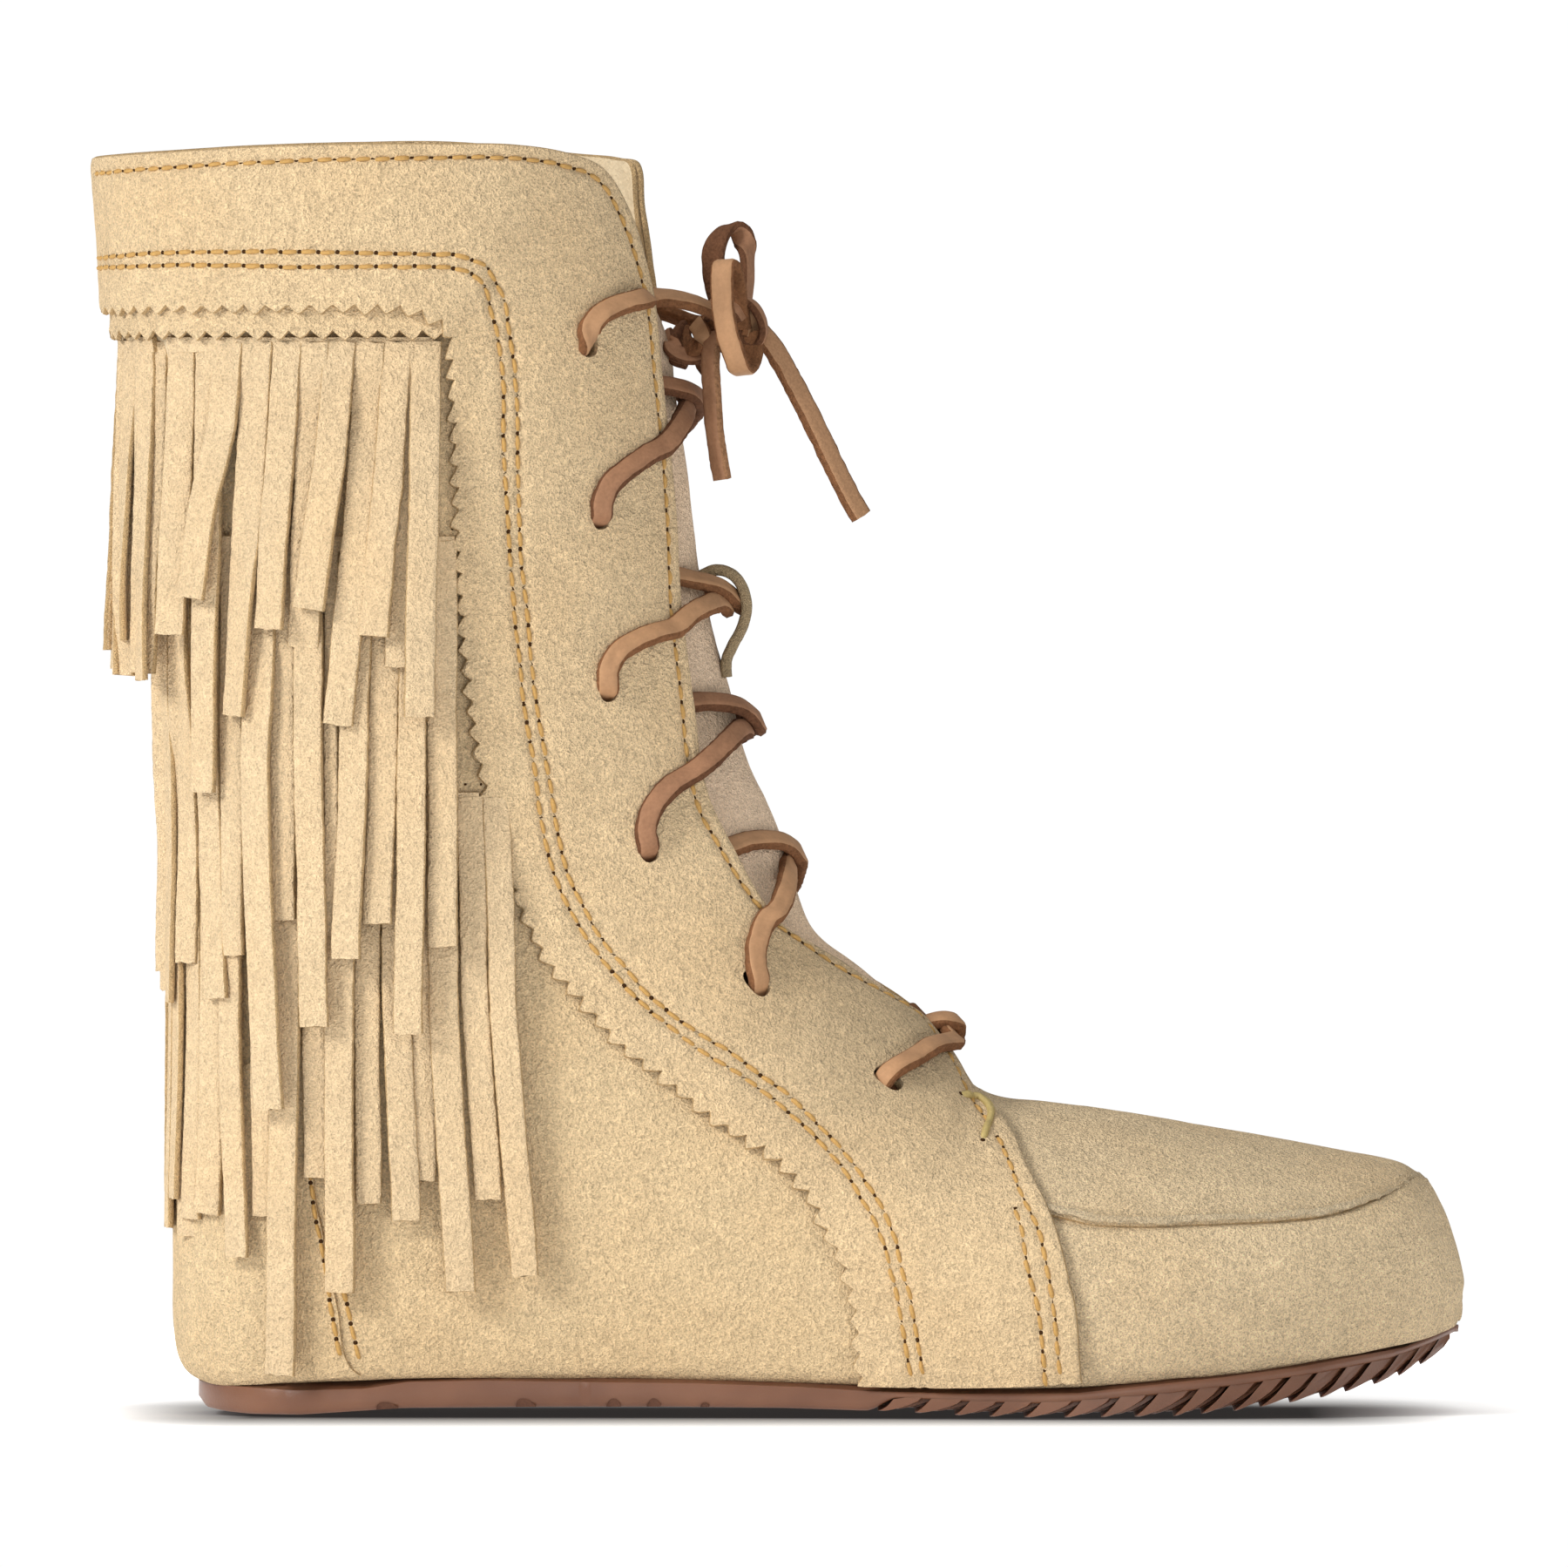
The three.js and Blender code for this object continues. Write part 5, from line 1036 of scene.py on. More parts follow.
def slot_cutters(side):
    """rounded prisms through the leather at the lace slots"""
    half_across, half_up, squareness = 2.15, 3.3, 0.75
    inside, outside, sides = -4.0, 7.0, 20
    angle = np.arange(sides) * 2 * math.pi / sides
    cosine, sine = np.cos(angle), np.sin(angle)
    x_way = np.sign(cosine) * np.abs(cosine) ** squareness * half_across
    y_way = np.sign(sine) * np.abs(sine) ** squareness * half_up
    parts = []
    for x, z in LACE_SLOTS:
        centre, out, up, cross = slot_frame(x, z, side)
        ring = centre + cross * x_way[:, None] + up * y_way[:, None]
        parts.append(loft([ring + out * inside, ring + out * outside], 2, sides, None))
    return new_object("cut", new_mesh("cut", parts))


def cut(obj, cutter):
    boolean = obj.modifiers.new("slots", "BOOLEAN")
    boolean.operation, boolean.solver, boolean.object = "DIFFERENCE", "EXACT", cutter
    depsgraph = bpy.context.evaluated_depsgraph_get()
    mesh = bpy.data.meshes.new_from_object(obj.evaluated_get(depsgraph))
    obj.modifiers.clear()
    # a failed cut loses most of the faces; the uncut mesh is kept then
    if len(mesh.polygons) > 0.8 * len(obj.data.polygons):
        obj.data = mesh


def build_front(side, side_name):
    part = front_panel(side)
    panel = make(f"panel_{side_name}", [part],
                 replaces=[f"front_panel_{side_name}"], angle=60)
    facing = make(f"facing_{side_name}", [facing_lining(side)],
                  replaces=[f"facing_lining_{side_name}"], angle=60)
    cutter = slot_cutters(side)
    cut(panel, cutter)
    cut(facing, cutter)
    bpy.data.objects.remove(cutter)
    return part


# ------------------------------------------------------------ rear quarters and linings
FINE_STATIONS = np.linspace(6, PANEL_END, 2101)
# sections of the rows below the ankle, and of the back line above it
LOW_SECTIONS = [16.8, 16.2, 15.6, 15.0, 14.4, 13.8, 13.3, 12.9, 12.6, 12.3, 12.0, 11.75, 11.55]
BACK_SECTIONS = [30.2, 28.4, 26.6, 25, 23.6, 22.5, 21.6, 20.9, 20.2, 19.4, 18.5, 17.5]


def station_at(sec, across):
    """station where a line along the panel comes down to a section"""
    secs = panel_at(FINE_STATIONS, across)[0]
    crossing = np.where((secs[:-1] >= sec) & (secs[1:] < sec))[0]
    return FINE_STATIONS[crossing[0]] if len(crossing) else PANEL_END


def quarter_rows(across, top_section, first_station):
    """rows of (sec, turn) at the front and sec at the back"""
    last_station, rows = station_at(17.5, across), []
    back = [top_section] + BACK_SECTIONS
    for i, back_sec in enumerate(back):
        station = lerp(first_station, last_station, (i / (len(back) - 1)) ** 0.9)
        sec, turn = panel_at(station, across)
        rows.append([float(sec), float(turn), back_sec])
    for sec in LOW_SECTIONS:
        turn = float(panel_at(station_at(sec, across), across)[1])
        rows.append([sec, min(turn, 1.7), sec])
    return np.array(rows)


def quarter_grid(rows, row_count, column_count, back_turn):
    """sec and |turn| from the front line of the rows to the back"""
    rows = spline(rows, np.linspace(0, len(rows) - 1, row_count))
    back = np.linspace(0, 1, column_count)
    return lerp(rows[:, 0:1], rows[:, 2:3], back), lerp(rows[:, 1:2], back_turn, back)


def rear_quarter(side, rows):
    sec, turn = quarter_grid(rows, 230, 97, back_turn=1.996)
    base, out = skin(sec, side * turn)
    z = base[..., 2]
    shape = relief(base, (0.28, 19, 21), (0.10, 7, 22), (0.04, 2.4, 23))
    # the layers overlap at the fringe seams
    for tier in ("middle", "lower"):
        seam = TIERS[tier]["header"]
        shape += 0.75 * smooth(seam + 9, seam + 1.0, z) * smooth(seam - 0.5, seam + 0.35, z)
        shape -= 0.25 * bell(z - seam - 2.0, 0.7)
    # tucked in at the sole
    shape -= 0.5 * smooth(9.5, 6.0, z)
    return slab(base + out * shape[..., None], base - out * 1.2, bulge=0.2, face="suede_quarter")


def build_quarters():
    rows = quarter_rows(0.17, back_section(222), 6)
    parts = []
    for side, side_name in SIDES:
        parts.append(rear_quarter(side, rows))
        make(f"quarter_{side_name}", [parts[-1]],
             replaces=[f"rear_quarter_{side_name}"], angle=60)
    return parts


def build_heel():
    """panel around the back of the heel"""
    sec, turn = table_on_surface(HEEL_SEAM)
    sec[-1], turn[-1] = lerp(sec[-1], sec[-2], 0.02), min(turn[-1], 1.93)
    back = np.array([back_section(z) for z in (78, 64, 50, 36, 22, 9.5)])
    rows = spline(np.stack([sec, turn, back], 1), np.linspace(0, 5, 110))
    across = np.linspace(-1, 1, 161)
    from_back = np.abs(across)[None, :]
    sec = lerp(rows[:, 2:3], rows[:, 0:1], from_back)
    turn = lerp(2, rows[:, 1:2], from_back) * np.where(across < 0, -1, 1)
    base, out = skin(sec, turn)
    out[:, np.abs(across) < 0.02] = unit(np.array([-1.0, 0.0, -0.1]))
    shape = relief(base, (0.22, 16, 31), (0.08, 6, 32)) - 0.45 * smooth(9.5, 6.0, base[..., 2])
    part = slab(base + out * (0.75 + shape)[..., None], base, bulge=0.2, face="suede_quarter")
    make("heel", [part], replaces=["heel_panel", "heel_counter"], angle=60)
    return part


def build_linings():
    rows = quarter_rows(0.3, back_section(240), 4.6)
    for side, side_name in SIDES:
        sec, turn = quarter_grid(rows, 90, 50, back_turn=1.985)
        lift = -4.0 + 3.6 * smooth(27.5, 31.5, sec)
        base, out = skin(sec, side * turn)
        shape = relief(base, (0.25, 14, 61))
        part = slab(base + out * (lift + 0.9 + shape * 0.3)[..., None],
                    base + out * (lift + shape)[..., None],
                    bulge=0.2, face="lining", edge="lining")
        make(f"lining_{side_name}_soft", [part],
             replaces=[f"lining_{side_name}"], angle=60)


# ------------------------------------------------------------ toe
SEAM_SEC, SEAM_TURN = (values[::-1] for values in table_on_surface(TOE_SEAM))
TIP_SEC = 4.05  # section where the seam crosses the middle line


def seam_turn(sec):
    """|turn| of the seam around the toe"""
    sec = np.asarray(sec, float)
    tip_share = np.clip((sec - TIP_SEC) / (SEAM_SEC[0] - TIP_SEC), 0, 1)
    inside = np.interp(sec, SEAM_SEC, SEAM_TURN)
    return np.where(sec <= SEAM_SEC[0], SEAM_TURN[0] * np.sqrt(tip_share), inside)


def plug(secs):
    """the top of the toe, inside the seam"""
    across = np.linspace(-1, 1, 151)
    half = np.maximum(seam_turn(np.minimum(secs, 11.2)) - 0.004, 0.02)
    sec = np.repeat(secs[:, None], len(across), 1)
    base, out = skin(sec, half[:, None] * across)
    half_width = length_of(surf(secs, half) - surf(secs, half * 0.97)) / 0.03
    to_seam = (1 - np.abs(across)) * half_width[:, None]
    to_seam = np.minimum(to_seam, length_of(base - base[0, len(across) // 2]) + 0.2)
    shape = relief(base, (0.22, 15, 41), (0.05, 3, 42))
    # rough ridge along the seam, fading out at both ends
    ridge = 0.74 + relief(base, (0.62, 0.9, 43), (0.35, 2.4, 44))
    shape += bell(to_seam - 0.9, 0.8) * ridge * smooth(12.2, 10.4, sec) * smooth(4.1, 5.0, sec)
    shape -= 0.55 * smooth(4.9, 4.12, sec)
    shape -= 0.5 * bell(to_seam, 0.35) * smooth(12.2, 11, sec)
    # soft hollow where the laces pull the vamp in
    shape -= 0.54 * bell(base[..., 0] - 146, 7.0) * bell(base[..., 1], 26.0)
    return slab(base + out * (0.1 + shape)[..., None], base - out * 1.2,
                bulge=0.1, face="suede_vamp")


def seam_bead(secs):
    """rough raised seam around the plug"""
    secs = secs[secs < 12.0]
    turn = np.maximum(seam_turn(secs) - 0.004, 0.02)
    lift = lerp(-0.45, 0.78, smooth(4.3, 6.0, secs))[:, None]
    points, normals = [], []
    for side in (-1, 1):
        base, out = skin(secs, side * turn)
        inward = unit(surf(secs, side * turn * 0.965) - base)
        points.append(base + out * lift + inward * 0.80)
        normals.append(out)
    path = np.concatenate([points[0][::-1], points[1][1:]])
    out = np.concatenate([normals[0][::-1], normals[1][1:]])
    run = run_along(path)
    distance = np.linspace(0, run[-1], int(run[-1] / (0.35)))
    path, out = at_distance(path, run, distance), blur(at_distance(out, run, distance), 8)
    wide = unit(np.cross(out, tangents(path)))
    wander = wide * relief(path, (0.22, 1.6, 46))[:, None]
    path = path + out * relief(path, (0.10, 1.1, 45))[:, None] + wander
    width = 1.5 * (1 + relief(path, (0.28, 1.0, 47), (0.15, 4.0, 48)))
    return strap(path, wide, width, 0.85, ("suede_seam",) * 3, seed=49,
                 rough_edge=0.3, rough_face=0.16)


def build_plug():
    secs = 4.12 + (12.35 - 4.12) * np.linspace(0, 1, 190) ** 1.35
    make("vamp_plug", [plug(secs), seam_bead(secs)], replaces=["toe_plug"], angle=60)


def toe_path():
    """rows of the wall (sec, turn at the seam; sec, turn at the sole) and the middle row"""
    half = []
    wall_sections = (11.9, 10.6, 9, 8, 7, 6.2, 5.5, 5.0, 4.6, 4.3)
    for i, sec in enumerate(wall_sections):
        share = (len(wall_sections) - i) / len(wall_sections)
        seam = max(float(seam_turn(sec)), 0) + 0.004
        half.append((sec, seam, 0.3 + 11.6 * share**1.35, 2.0))
    # around the tip: share of the way, section and turn at the sole
    tip_rows = ((0.86, 0.22, 2.0), (0.66, 0.13, 1.6), (0.44, 0.12, 1.1), (0.22, 0.12, 0.55))
    for share, low_sec, low_turn in tip_rows:
        sec = TIP_SEC + 0.25 * share**2
        half.append((sec, max(float(seam_turn(sec)), 0.02), low_sec, low_turn))
    half = np.array(half)
    tip = [[4.04, 0.0, 0.12, 0.0]]
    return np.concatenate([half * [1, -1, 1, -1], tip, half[::-1]]), len(half)


def toe_wall():
    path, middle = toe_path()
    count = 300
    t = np.linspace(0, len(path) - 1, count)
    lateral = spline(path[: middle + 1], np.minimum(t, middle))
    medial = spline(path[middle:], np.maximum(t - middle, 0))
    rows = np.where((t <= middle)[:, None], lateral, medial)
    # three columns run on under the plug; column 3 is the seam
    down = np.concatenate([[-0.075, -0.05, -0.025], np.linspace(0, 1, 85)])
    sec = np.clip(lerp(rows[:, 0:1], rows[:, 2:3], down), 0.12, 12.2)
    turn = np.clip(lerp(rows[:, 1:2], rows[:, 3:4], down), -2, 2)
    base, out = skin(sec, turn)
    shape = relief(base, (0.24, 16, 51), (0.09, 6, 52), (0.04, 2.4, 53))
    from_seam = length_of(base - base[:, 3:4])
    shape -= 0.42 * bell(from_seam, 0.45)
    shape += 0.16 * bell(from_seam - 1.2, 0.8) * (1 + vnoise(base, 1.2, 54))
    shape -= 0.5 * smooth(3.5, 0.5, base[..., 2] - base[:, -1:, 2])
    shape = np.where(down < -0.001, -1.35, shape)
    outer, inner = base + out * shape[..., None], base - out * 1.2
    # no crease where the two halves meet at the tip
    near_tip = bell(t - middle, 0.8)[:, None, None]
    reach = 4
    for _ in range(5):
        for grid in (outer, inner):
            padded = np.pad(grid, ((reach, reach), (0, 0), (0, 0)), "edge")
            average = sum(padded[i : i + count] for i in range(2 * reach + 1)) / (2 * reach + 1)
            grid += near_tip * (average - grid)
    return slab(outer, inner, bulge=0.1, face="suede_vamp")


def toe_tip():
    """ball of leather that closes the wall at the very tip"""
    ring = surf(0.12, np.linspace(-2, 1.75, 16))
    half_sizes = np.array([0.75, 1.7, np.ptp(ring[:, 2]) / 2 + 0.7])
    ball = unit_ball(10, 13) * half_sizes + ring.mean(0) + np.array([-0.9, 0, 0.2])
    return ball.reshape(-1, 3), [grid_quads(10, 13)], "suede_vamp"


# ------------------------------------------------------------ tongue
def facing_turn(sec):
    """|turn| of the facing edge at a section"""
    rows = FACING_EDGE[6 : PANEL_END - 2]
    rows = rows[np.argsort(rows[:, 0])]
    return np.interp(np.asarray(sec, float), rows[:, 0], rows[:, 1])


def tongue_turn(sec):
    """|turn| of the tongue's edge"""
    if sec < 13:
        return 0.5
    return min(float(panel_at(station_at(sec, 0.56), 0.56)[1]), 0.9)


def build_tongue():
    knots = np.linspace(11.6, 31, 60)
    sec = np.linspace(11.6, 31.2, 220)
    half = np.interp(sec, knots, [tongue_turn(knot) for knot in knots])
    sec = sec[:, None]
    turn = half[:, None] * np.linspace(-1, 1, 91)
    to_edge = np.minimum(np.abs(turn) / facing_turn(sec), 1)
    lift = lerp(-3.4, -0.5, np.cos(to_edge * math.pi / 2) ** 2)
    lift = lift - 9 * smooth(27.6, 30.8, sec) * (1 - 0.7 * to_edge)
    base, out = skin(sec, turn)
    shape = relief(base * np.array([1, 0.8, 1.0]), (0.55, 15, 71))
    shape = (shape + relief(base, (0.22, 6, 72), (0.05, 2, 73))) * smooth(11.6, 13.5, sec)
    part = slab(base + out * (lift + shape)[..., None],
                base + out * (lift - 1.3 + shape)[..., None],
                face="tongue_suede", edge="tongue_suede")
    make("tongue_soft", [part], replaces=["tongue"], angle=60)


# ------------------------------------------------------------ pinked strip over the upper fringe
def build_pinked_strip():
    front_turn = float(from_side(31.6, 221.0)[1][0])
    place = np.linspace(-1, 1, 1000)  # 0 on the back line
    size, sign = lerp(2.0, front_turn, np.abs(place)), np.where(place < 0, -1.0, 1.0)
    run = run_along(surf(at_height(size, 219.4), sign * size))
    number, tooth = teeth(run, depth=1.9, rate=1.9, phase=0.0)
    down = np.linspace(0, 1, 12)[:, None]
    z = lerp(225.8, 219.7 - tooth, down) + 0.12 * line_noise(run, 0.8, 81)
    base, out = skin(at_height(size, z), sign * size)
    out[:, np.abs(place) < 0.004] = np.array([-0.993, 0, 0.118])
    curl = 0.25 * np.exp(-(z - z.min(0)) / 1.4) * (1 + 0.5 * np.sin(number * 2.3))
    lift = lerp(1.9, 2.35, down) + curl
    shape = relief(base, (0.12, 5, 82))
    part = slab(base + out * (lift + 1.1 + shape)[..., None],
                base + out * lift[..., None], bulge=0.25)
    make("pinked_strip", [part], replaces=["pinked_header_strip"], angle=60)


# ------------------------------------------------------------ fringe
BACK_TURN = 1.66  # where the side pieces end and the back piece begins
BACK_STRIPS = 7
STRIP_STEP = 0.85
STRIP_THICK = 1.4
STRIP_LOOK = dict(
    mats=("suede_fringe", "suede_fringe", "suede_edge"),
    cells=8,
    edge_points=3,
    rough_edge=0.17,
    rough_face=0.05,
    cap=0.5,
)


def stand_off(tier, z):
    """distance of the hanging strips from the surface"""
    away = lerp(0.55, tier["away"], smooth(*tier["away_z"], z))
    return away + tier["flare"] * smooth(*tier["flare_z"], z)


def strip_centre(stations, t):
    """x down a strip: its stations joined and smoothed, straight on past both ends"""
    x = np.interp(t, [s[1] for s in stations], [s[0] for s in stations])
    kernel = np.exp(-(np.linspace(-2, 2, max(len(t) // 5, 3)) ** 2))
    kernel /= kernel.sum()
    pad = len(kernel)
    before = x[0] - (x[1] - x[0]) * np.arange(pad, 0, -1)
    after = x[-1] + (x[-1] - x[-2]) * np.arange(1, pad + 1)
    return np.convolve(np.concatenate([before, x, after]), kernel, "same")[pad:-pad]


def side_strip(tier, side, spec, seed, jitter):
    stations, tip_z, width, layer, curl = spec
    rng = np.random.default_rng(seed)
    top_z = tier["header"] - tier["top_gap"]
    count = int((top_z - tip_z) / STRIP_STEP) + 2
    t = np.linspace(0, 1, count)
    x = strip_centre(stations, t) + jitter * rng.normal() * t
    x = x + 0.28 * line_noise(t * 90, 22, 91, y=seed) * smooth(0, 0.3, t)
    z = lerp(top_z, tip_z, t)
    back_x = surf(at_height(1.86, np.maximum(z, 12)), 1.86)[:, 0]
    sec, turn = from_side(np.maximum(x, back_x), z)
    lift = stand_off(tier, z) + 0.7 + layer * 1.15 * smooth(0.02, 0.3, t)
    base = lifted(sec, side * turn, lift)
    top_y = np.abs(base[0, 1])
    y = np.maximum(np.abs(base[:, 1]), top_y - 0.035 * (top_z - z))
    # behind the boot's back line the strip hangs free
    y = np.where(x < back_x - 1, np.minimum(y, top_y + 1.5), y)
    y = soften(side * y, max(count // 8, 2)) + side * curl * 2.2 * smooth(0.82, 1.0, t) ** 1.5
    # the width lies along the surface, with a slow twist
    out = normal(sec, side * turn)
    sign = np.sign(out[:, 1] + 1e-12)
    angle = np.clip(np.arctan2(-out[:, 0] * sign, out[:, 1] * sign), -0.62, 0.62)
    angle = angle + (0.16 + 0.10 * rng.normal()) * smooth(0, 1, t) * side
    angle = angle + 0.10 * line_noise(t * 90, 30, 93, z=seed)
    wide = np.stack([np.cos(angle), np.sin(angle), np.zeros(count)], 1) * -side
    width = width * (1 + 0.03 * line_noise(t * 90, 9, 94, y=seed * 3))
    width = width / np.maximum(np.cos(np.clip(angle, -0.6, 0.6)), 0.8)
    return strap(np.stack([x, y, z], 1), wide, width, STRIP_THICK, seed=seed, corner=0.3,
                 cup=0.02 * rng.normal(), **STRIP_LOOK)


def back_strip(tier, i, seed):
    rng = np.random.default_rng(seed)
    around = lerp(BACK_TURN + 0.075, 4 - BACK_TURN - 0.075, i / (BACK_STRIPS - 1))
    turn = around - 4 if around > 2 else around
    top_z, drop = tier["header"] - 0.5, tier["drops"][i]
    t = np.linspace(0, 1, int(drop / STRIP_STEP) + 2)
    z = top_z - drop * t
    top_sec = float(at_height(abs(turn), top_z))
    top, out = lifted(top_sec, turn, 1.2), normal(top_sec, turn)
    if abs(around - 2) < 0.02:
        out = np.array([-1.0, 0.0, 0.1])
    level = unit(np.array([out[0], out[1], 0]))
    layer = (i % 3) * 0.5 * smooth(0.05, 0.4, t)
    sec = at_height(abs(turn), np.maximum(z, 14))
    resting = lifted(sec, turn, stand_off(tier, z) * tier["near"] + 0.7 + layer)
    hanging = top + level * (tier["hang"] * (top_z - z) + layer)[:, None]
    path = np.where(((resting @ level) > (hanging @ level))[:, None], resting, hanging)
    path[:, 2] = z
    for c in (0, 1):
        path[:, c] = soften(path[:, c], max(len(t) // 8, 2))
    tangent = np.array([-level[1], level[0], 0.0])
    sway = 0.9 * line_noise(t * 90, 40, 95, y=seed) * smooth(0, 0.5, t)
    path += tangent * sway[:, None]
    angle = 0.22 * line_noise(t * 90, 35, 96, z=seed) + 0.25 * rng.normal() * smooth(0.3, 1, t)
    wide = tangent * np.cos(angle)[:, None] + level * np.sin(angle)[:, None]
    width = 5.9 * (1 + 0.03 * line_noise(t * 90, 9, 97))
    return strap(path, -wide, width, STRIP_THICK, seed=seed, **STRIP_LOOK)


def header_band(tier, start, end, lift):
    """the uncut top of a fringe piece, from one turn to another; over 2 wraps past the back"""
    around = lerp(start, end, np.linspace(0, 1, 60))
    past = np.abs(around) > 2
    size = np.where(past, 4 - np.abs(around), np.abs(around))
    sign = np.where(past, -np.sign(around), np.sign(around))
    z = tier["header"] + np.array([0.8, 0.0, -1.2, -2.2])[:, None]
    base, out = skin(at_height(size, z), sign * size)
    out[:, np.abs(np.abs(around) - 2) < 0.02] = np.array([-0.995, 0, 0.1])
    return slab(base + out * (lift + 1.25), base + out * lift, bulge=0.1, face="suede_fringe")


def make_fringe(body, parts, header, x, y):
    """one object for a fringe piece, with its transform baked in"""
    top, below = ((x, y, (header + z) / 1000) for z in (0.2, -3.6))
    make(f"soft_{body}", parts, replaces=[body], angle=55, blend=(body, top, below))


def build_fringe(number, name):
    tier = TIERS[name]
    header = tier["header"]
    front_turn = float(from_side(tier["front_x"], header)[1][0])
    for side, side_name in SIDES:
        parts = [header_band(tier, side * front_turn, side * (BACK_TURN - 0.03), 0.45)]
        rng = np.random.default_rng(100 + number)
        for k, spec in enumerate(tier["strips"]):
            if side > 0:
                # the medial side is the same piece with its tips and layers varied
                stations, tip_z, width, _, curl = spec
                tip_z = min(max(tip_z + rng.uniform(-7, 7), 10.5), header - 40)
                spec = (stations, tip_z, width, (k * 3 + number) % 4 * 0.9, curl)
            seed = 1000 * number + 40 * (side > 0) + k + 1
            parts.append(side_strip(tier, side, spec, seed, 1.2 if side > 0 else 0.0))
        y = float(surf(at_height(1.0, header), side * 1.0)[1]) / 1000
        make_fringe(f"fringe_{name}_{side_name}", parts, header, 0.01, y)
    parts = [header_band(tier, BACK_TURN + 0.03, 4 - BACK_TURN - 0.03, 0.55)]
    parts += [back_strip(tier, i, 5000 + 100 * number + i) for i in range(BACK_STRIPS)]
    x = float(surf(back_section(header), 2.0)[0]) / 1000
    make_fringe(f"fringe_{name}_back", parts, header, x, 0)


# ------------------------------------------------------------ stitching
# Short rows at the fringe seams, in front of the strips: z of the seam, x from, x to
SHORT_ROWS = ((177.7, 27.5, 36.6), (126.0, 33.0, 44.5))
# Thick tack at the foot of the facing (x, z): its threads and its two holes
TACK_THREADS = [
    [(135.2, 63.4), (137.4, 63.0), (140.2, 61.6), (142.4, 60.3)],
    [(142.3, 60.6), (142.0, 58.4), (141.2, 56.2), (140.6, 54.3)],
    [(135.4, 63.1), (138.2, 62.6), (141.2, 60.6), (142.3, 58.6)]]
TACK_HOLES = ((135.0, 63.5), (140.5, 54.0))


def surface_tree(parts):
    verts, faces = join(parts, outward=False)
    return BVHTree.FromPolygons(verts.tolist(), faces)


def hit(tree, sec, turn, far=14.0):
    """outermost points of the tree along the surface normals, and those normals"""
    base, out = skin(sec, turn)
    points = base + out * 2.0
    for i in range(len(base)):
        origin, direction = Vector(base[i] + out[i] * far), Vector(-out[i])
        location = tree.ray_cast(origin, direction, far + 6)[0]
        if location is not None:
            points[i] = location
    return points, out


def hole_disc(centre, out, along, radius):
    """a needle hole: a slightly domed disc whose dark colour is painted shade"""
    first = perpendicular(along, out)
    second = np.cross(out, first)
    angle = (np.arange(8) * math.pi / 4)[:, None]
    ring = centre + (first * np.cos(angle) + second * np.sin(angle)) * radius
    tips = [centre + out * 0.06, centre - out * 0.3]
    i = np.arange(8)
    j = (i + 1) % 8
    faces = [
        np.stack([i, j, j + 8, i + 8], 1),
        np.stack([i + 8, j + 8, np.full(8, 16)], 1),
        np.stack([j, i, np.full(8, 17)], 1),
    ]
    return np.concatenate([ring - out * 0.25, ring + out * 0.02, tips]), faces, "hole"


def stitches(tree, sec, turn, pitch, seed, hole_radius=0.5):
    """threads and needle holes along a row of surface points"""
    gap, radius = 0.62, 0.46
    arch = np.array([-0.71, -0.04, 0.14, 0.19, 0.14, -0.04, -0.71])
    taper = np.array([0.75, 0.95, 1, 1, 1, 0.95, 0.75])
    points, normals = hit(tree, sec, turn)
    run = run_along(points)
    rng = np.random.default_rng(seed)
    threads, holes = [], []
    for i in range(int(run[-1] / pitch)):
        start, end = i * pitch + gap / 2, (i + 1) * pitch - gap / 2
        distance = np.linspace(start, end, 7)
        line = at_distance(points, run, distance)
        out = unit(at_distance(normals, run, distance))
        across = unit(np.cross(out[3], line[-1] - line[0]))
        slant = np.linspace(-1, 1, 7) * 0.10 + rng.normal() * 0.05
        line = line + out * arch[:, None] + across * slant[:, None]
        threads.append(tube(line, radius * taper * (1 + 0.06 * rng.normal()), 6, "thread"))
        hole_at = start - gap * 0.35
        centre = at_distance(points, run, hole_at) + across * rng.normal() * 0.05
        out = unit(at_distance(normals, run, hole_at))
        holes.append(hole_disc(centre, out, across, hole_radius))
    return threads, holes


def tack(tree, side):
    parts = []
    for points in TACK_THREADS:
        sec, turn = row_on_surface(points, 0.4)
        base, out = hit(tree, sec, side * turn)
        t = np.linspace(-1, 1, len(sec))
        lift = 0.35 - 1.3 * np.abs(t)[:, None] ** 6
        parts.append(tube(base + out * lift, 0.74, 8, "thread_thick"))
    for x, z in TACK_HOLES:
        sec, turn = from_side(x, z)
        base, out = hit(tree, sec, side * turn)
        parts.append(hole_disc(base[0], out[0], np.array([1.0, 0, 0.2]), 0.55))
    return parts


def build_stitching(side, side_name, tree):
    rows = [(row_on_surface(row), 3.9) for row in SEWN_ROWS]
    rows += [(row_on_surface(row), 4.0) for row in (HEEL_ROW_REAR, HEEL_ROW_FRONT)]
    rows.append((facing_row(side), 3.9))
    parts = []
    for k, ((sec, turn), pitch) in enumerate(rows):
        threads, holes = stitches(tree, sec, side * turn, pitch, seed=200 + k)
        parts += threads + holes
    # of the short rows only the holes show
    for k, (z, start, end) in enumerate(SHORT_ROWS):
        sec, turn = from_side(np.linspace(start, end, 24), np.full(24, z + 1.6))
        seed = 240 + len(rows) + k
        parts += stitches(tree, sec, side * turn, 3.2, seed, hole_radius=0.3)[1]
    make(f"stitching_{side_name}", parts + tack(tree, side),
         replaces=[f"bar_tack_thread_{side_name}"], angle=0)


# ------------------------------------------------------------ laces
LACE_WIDTH, LACE_THICK = 4.5, 2.5
SLOT_SEC, SLOT_TURN = table_on_surface(LACE_SLOTS)
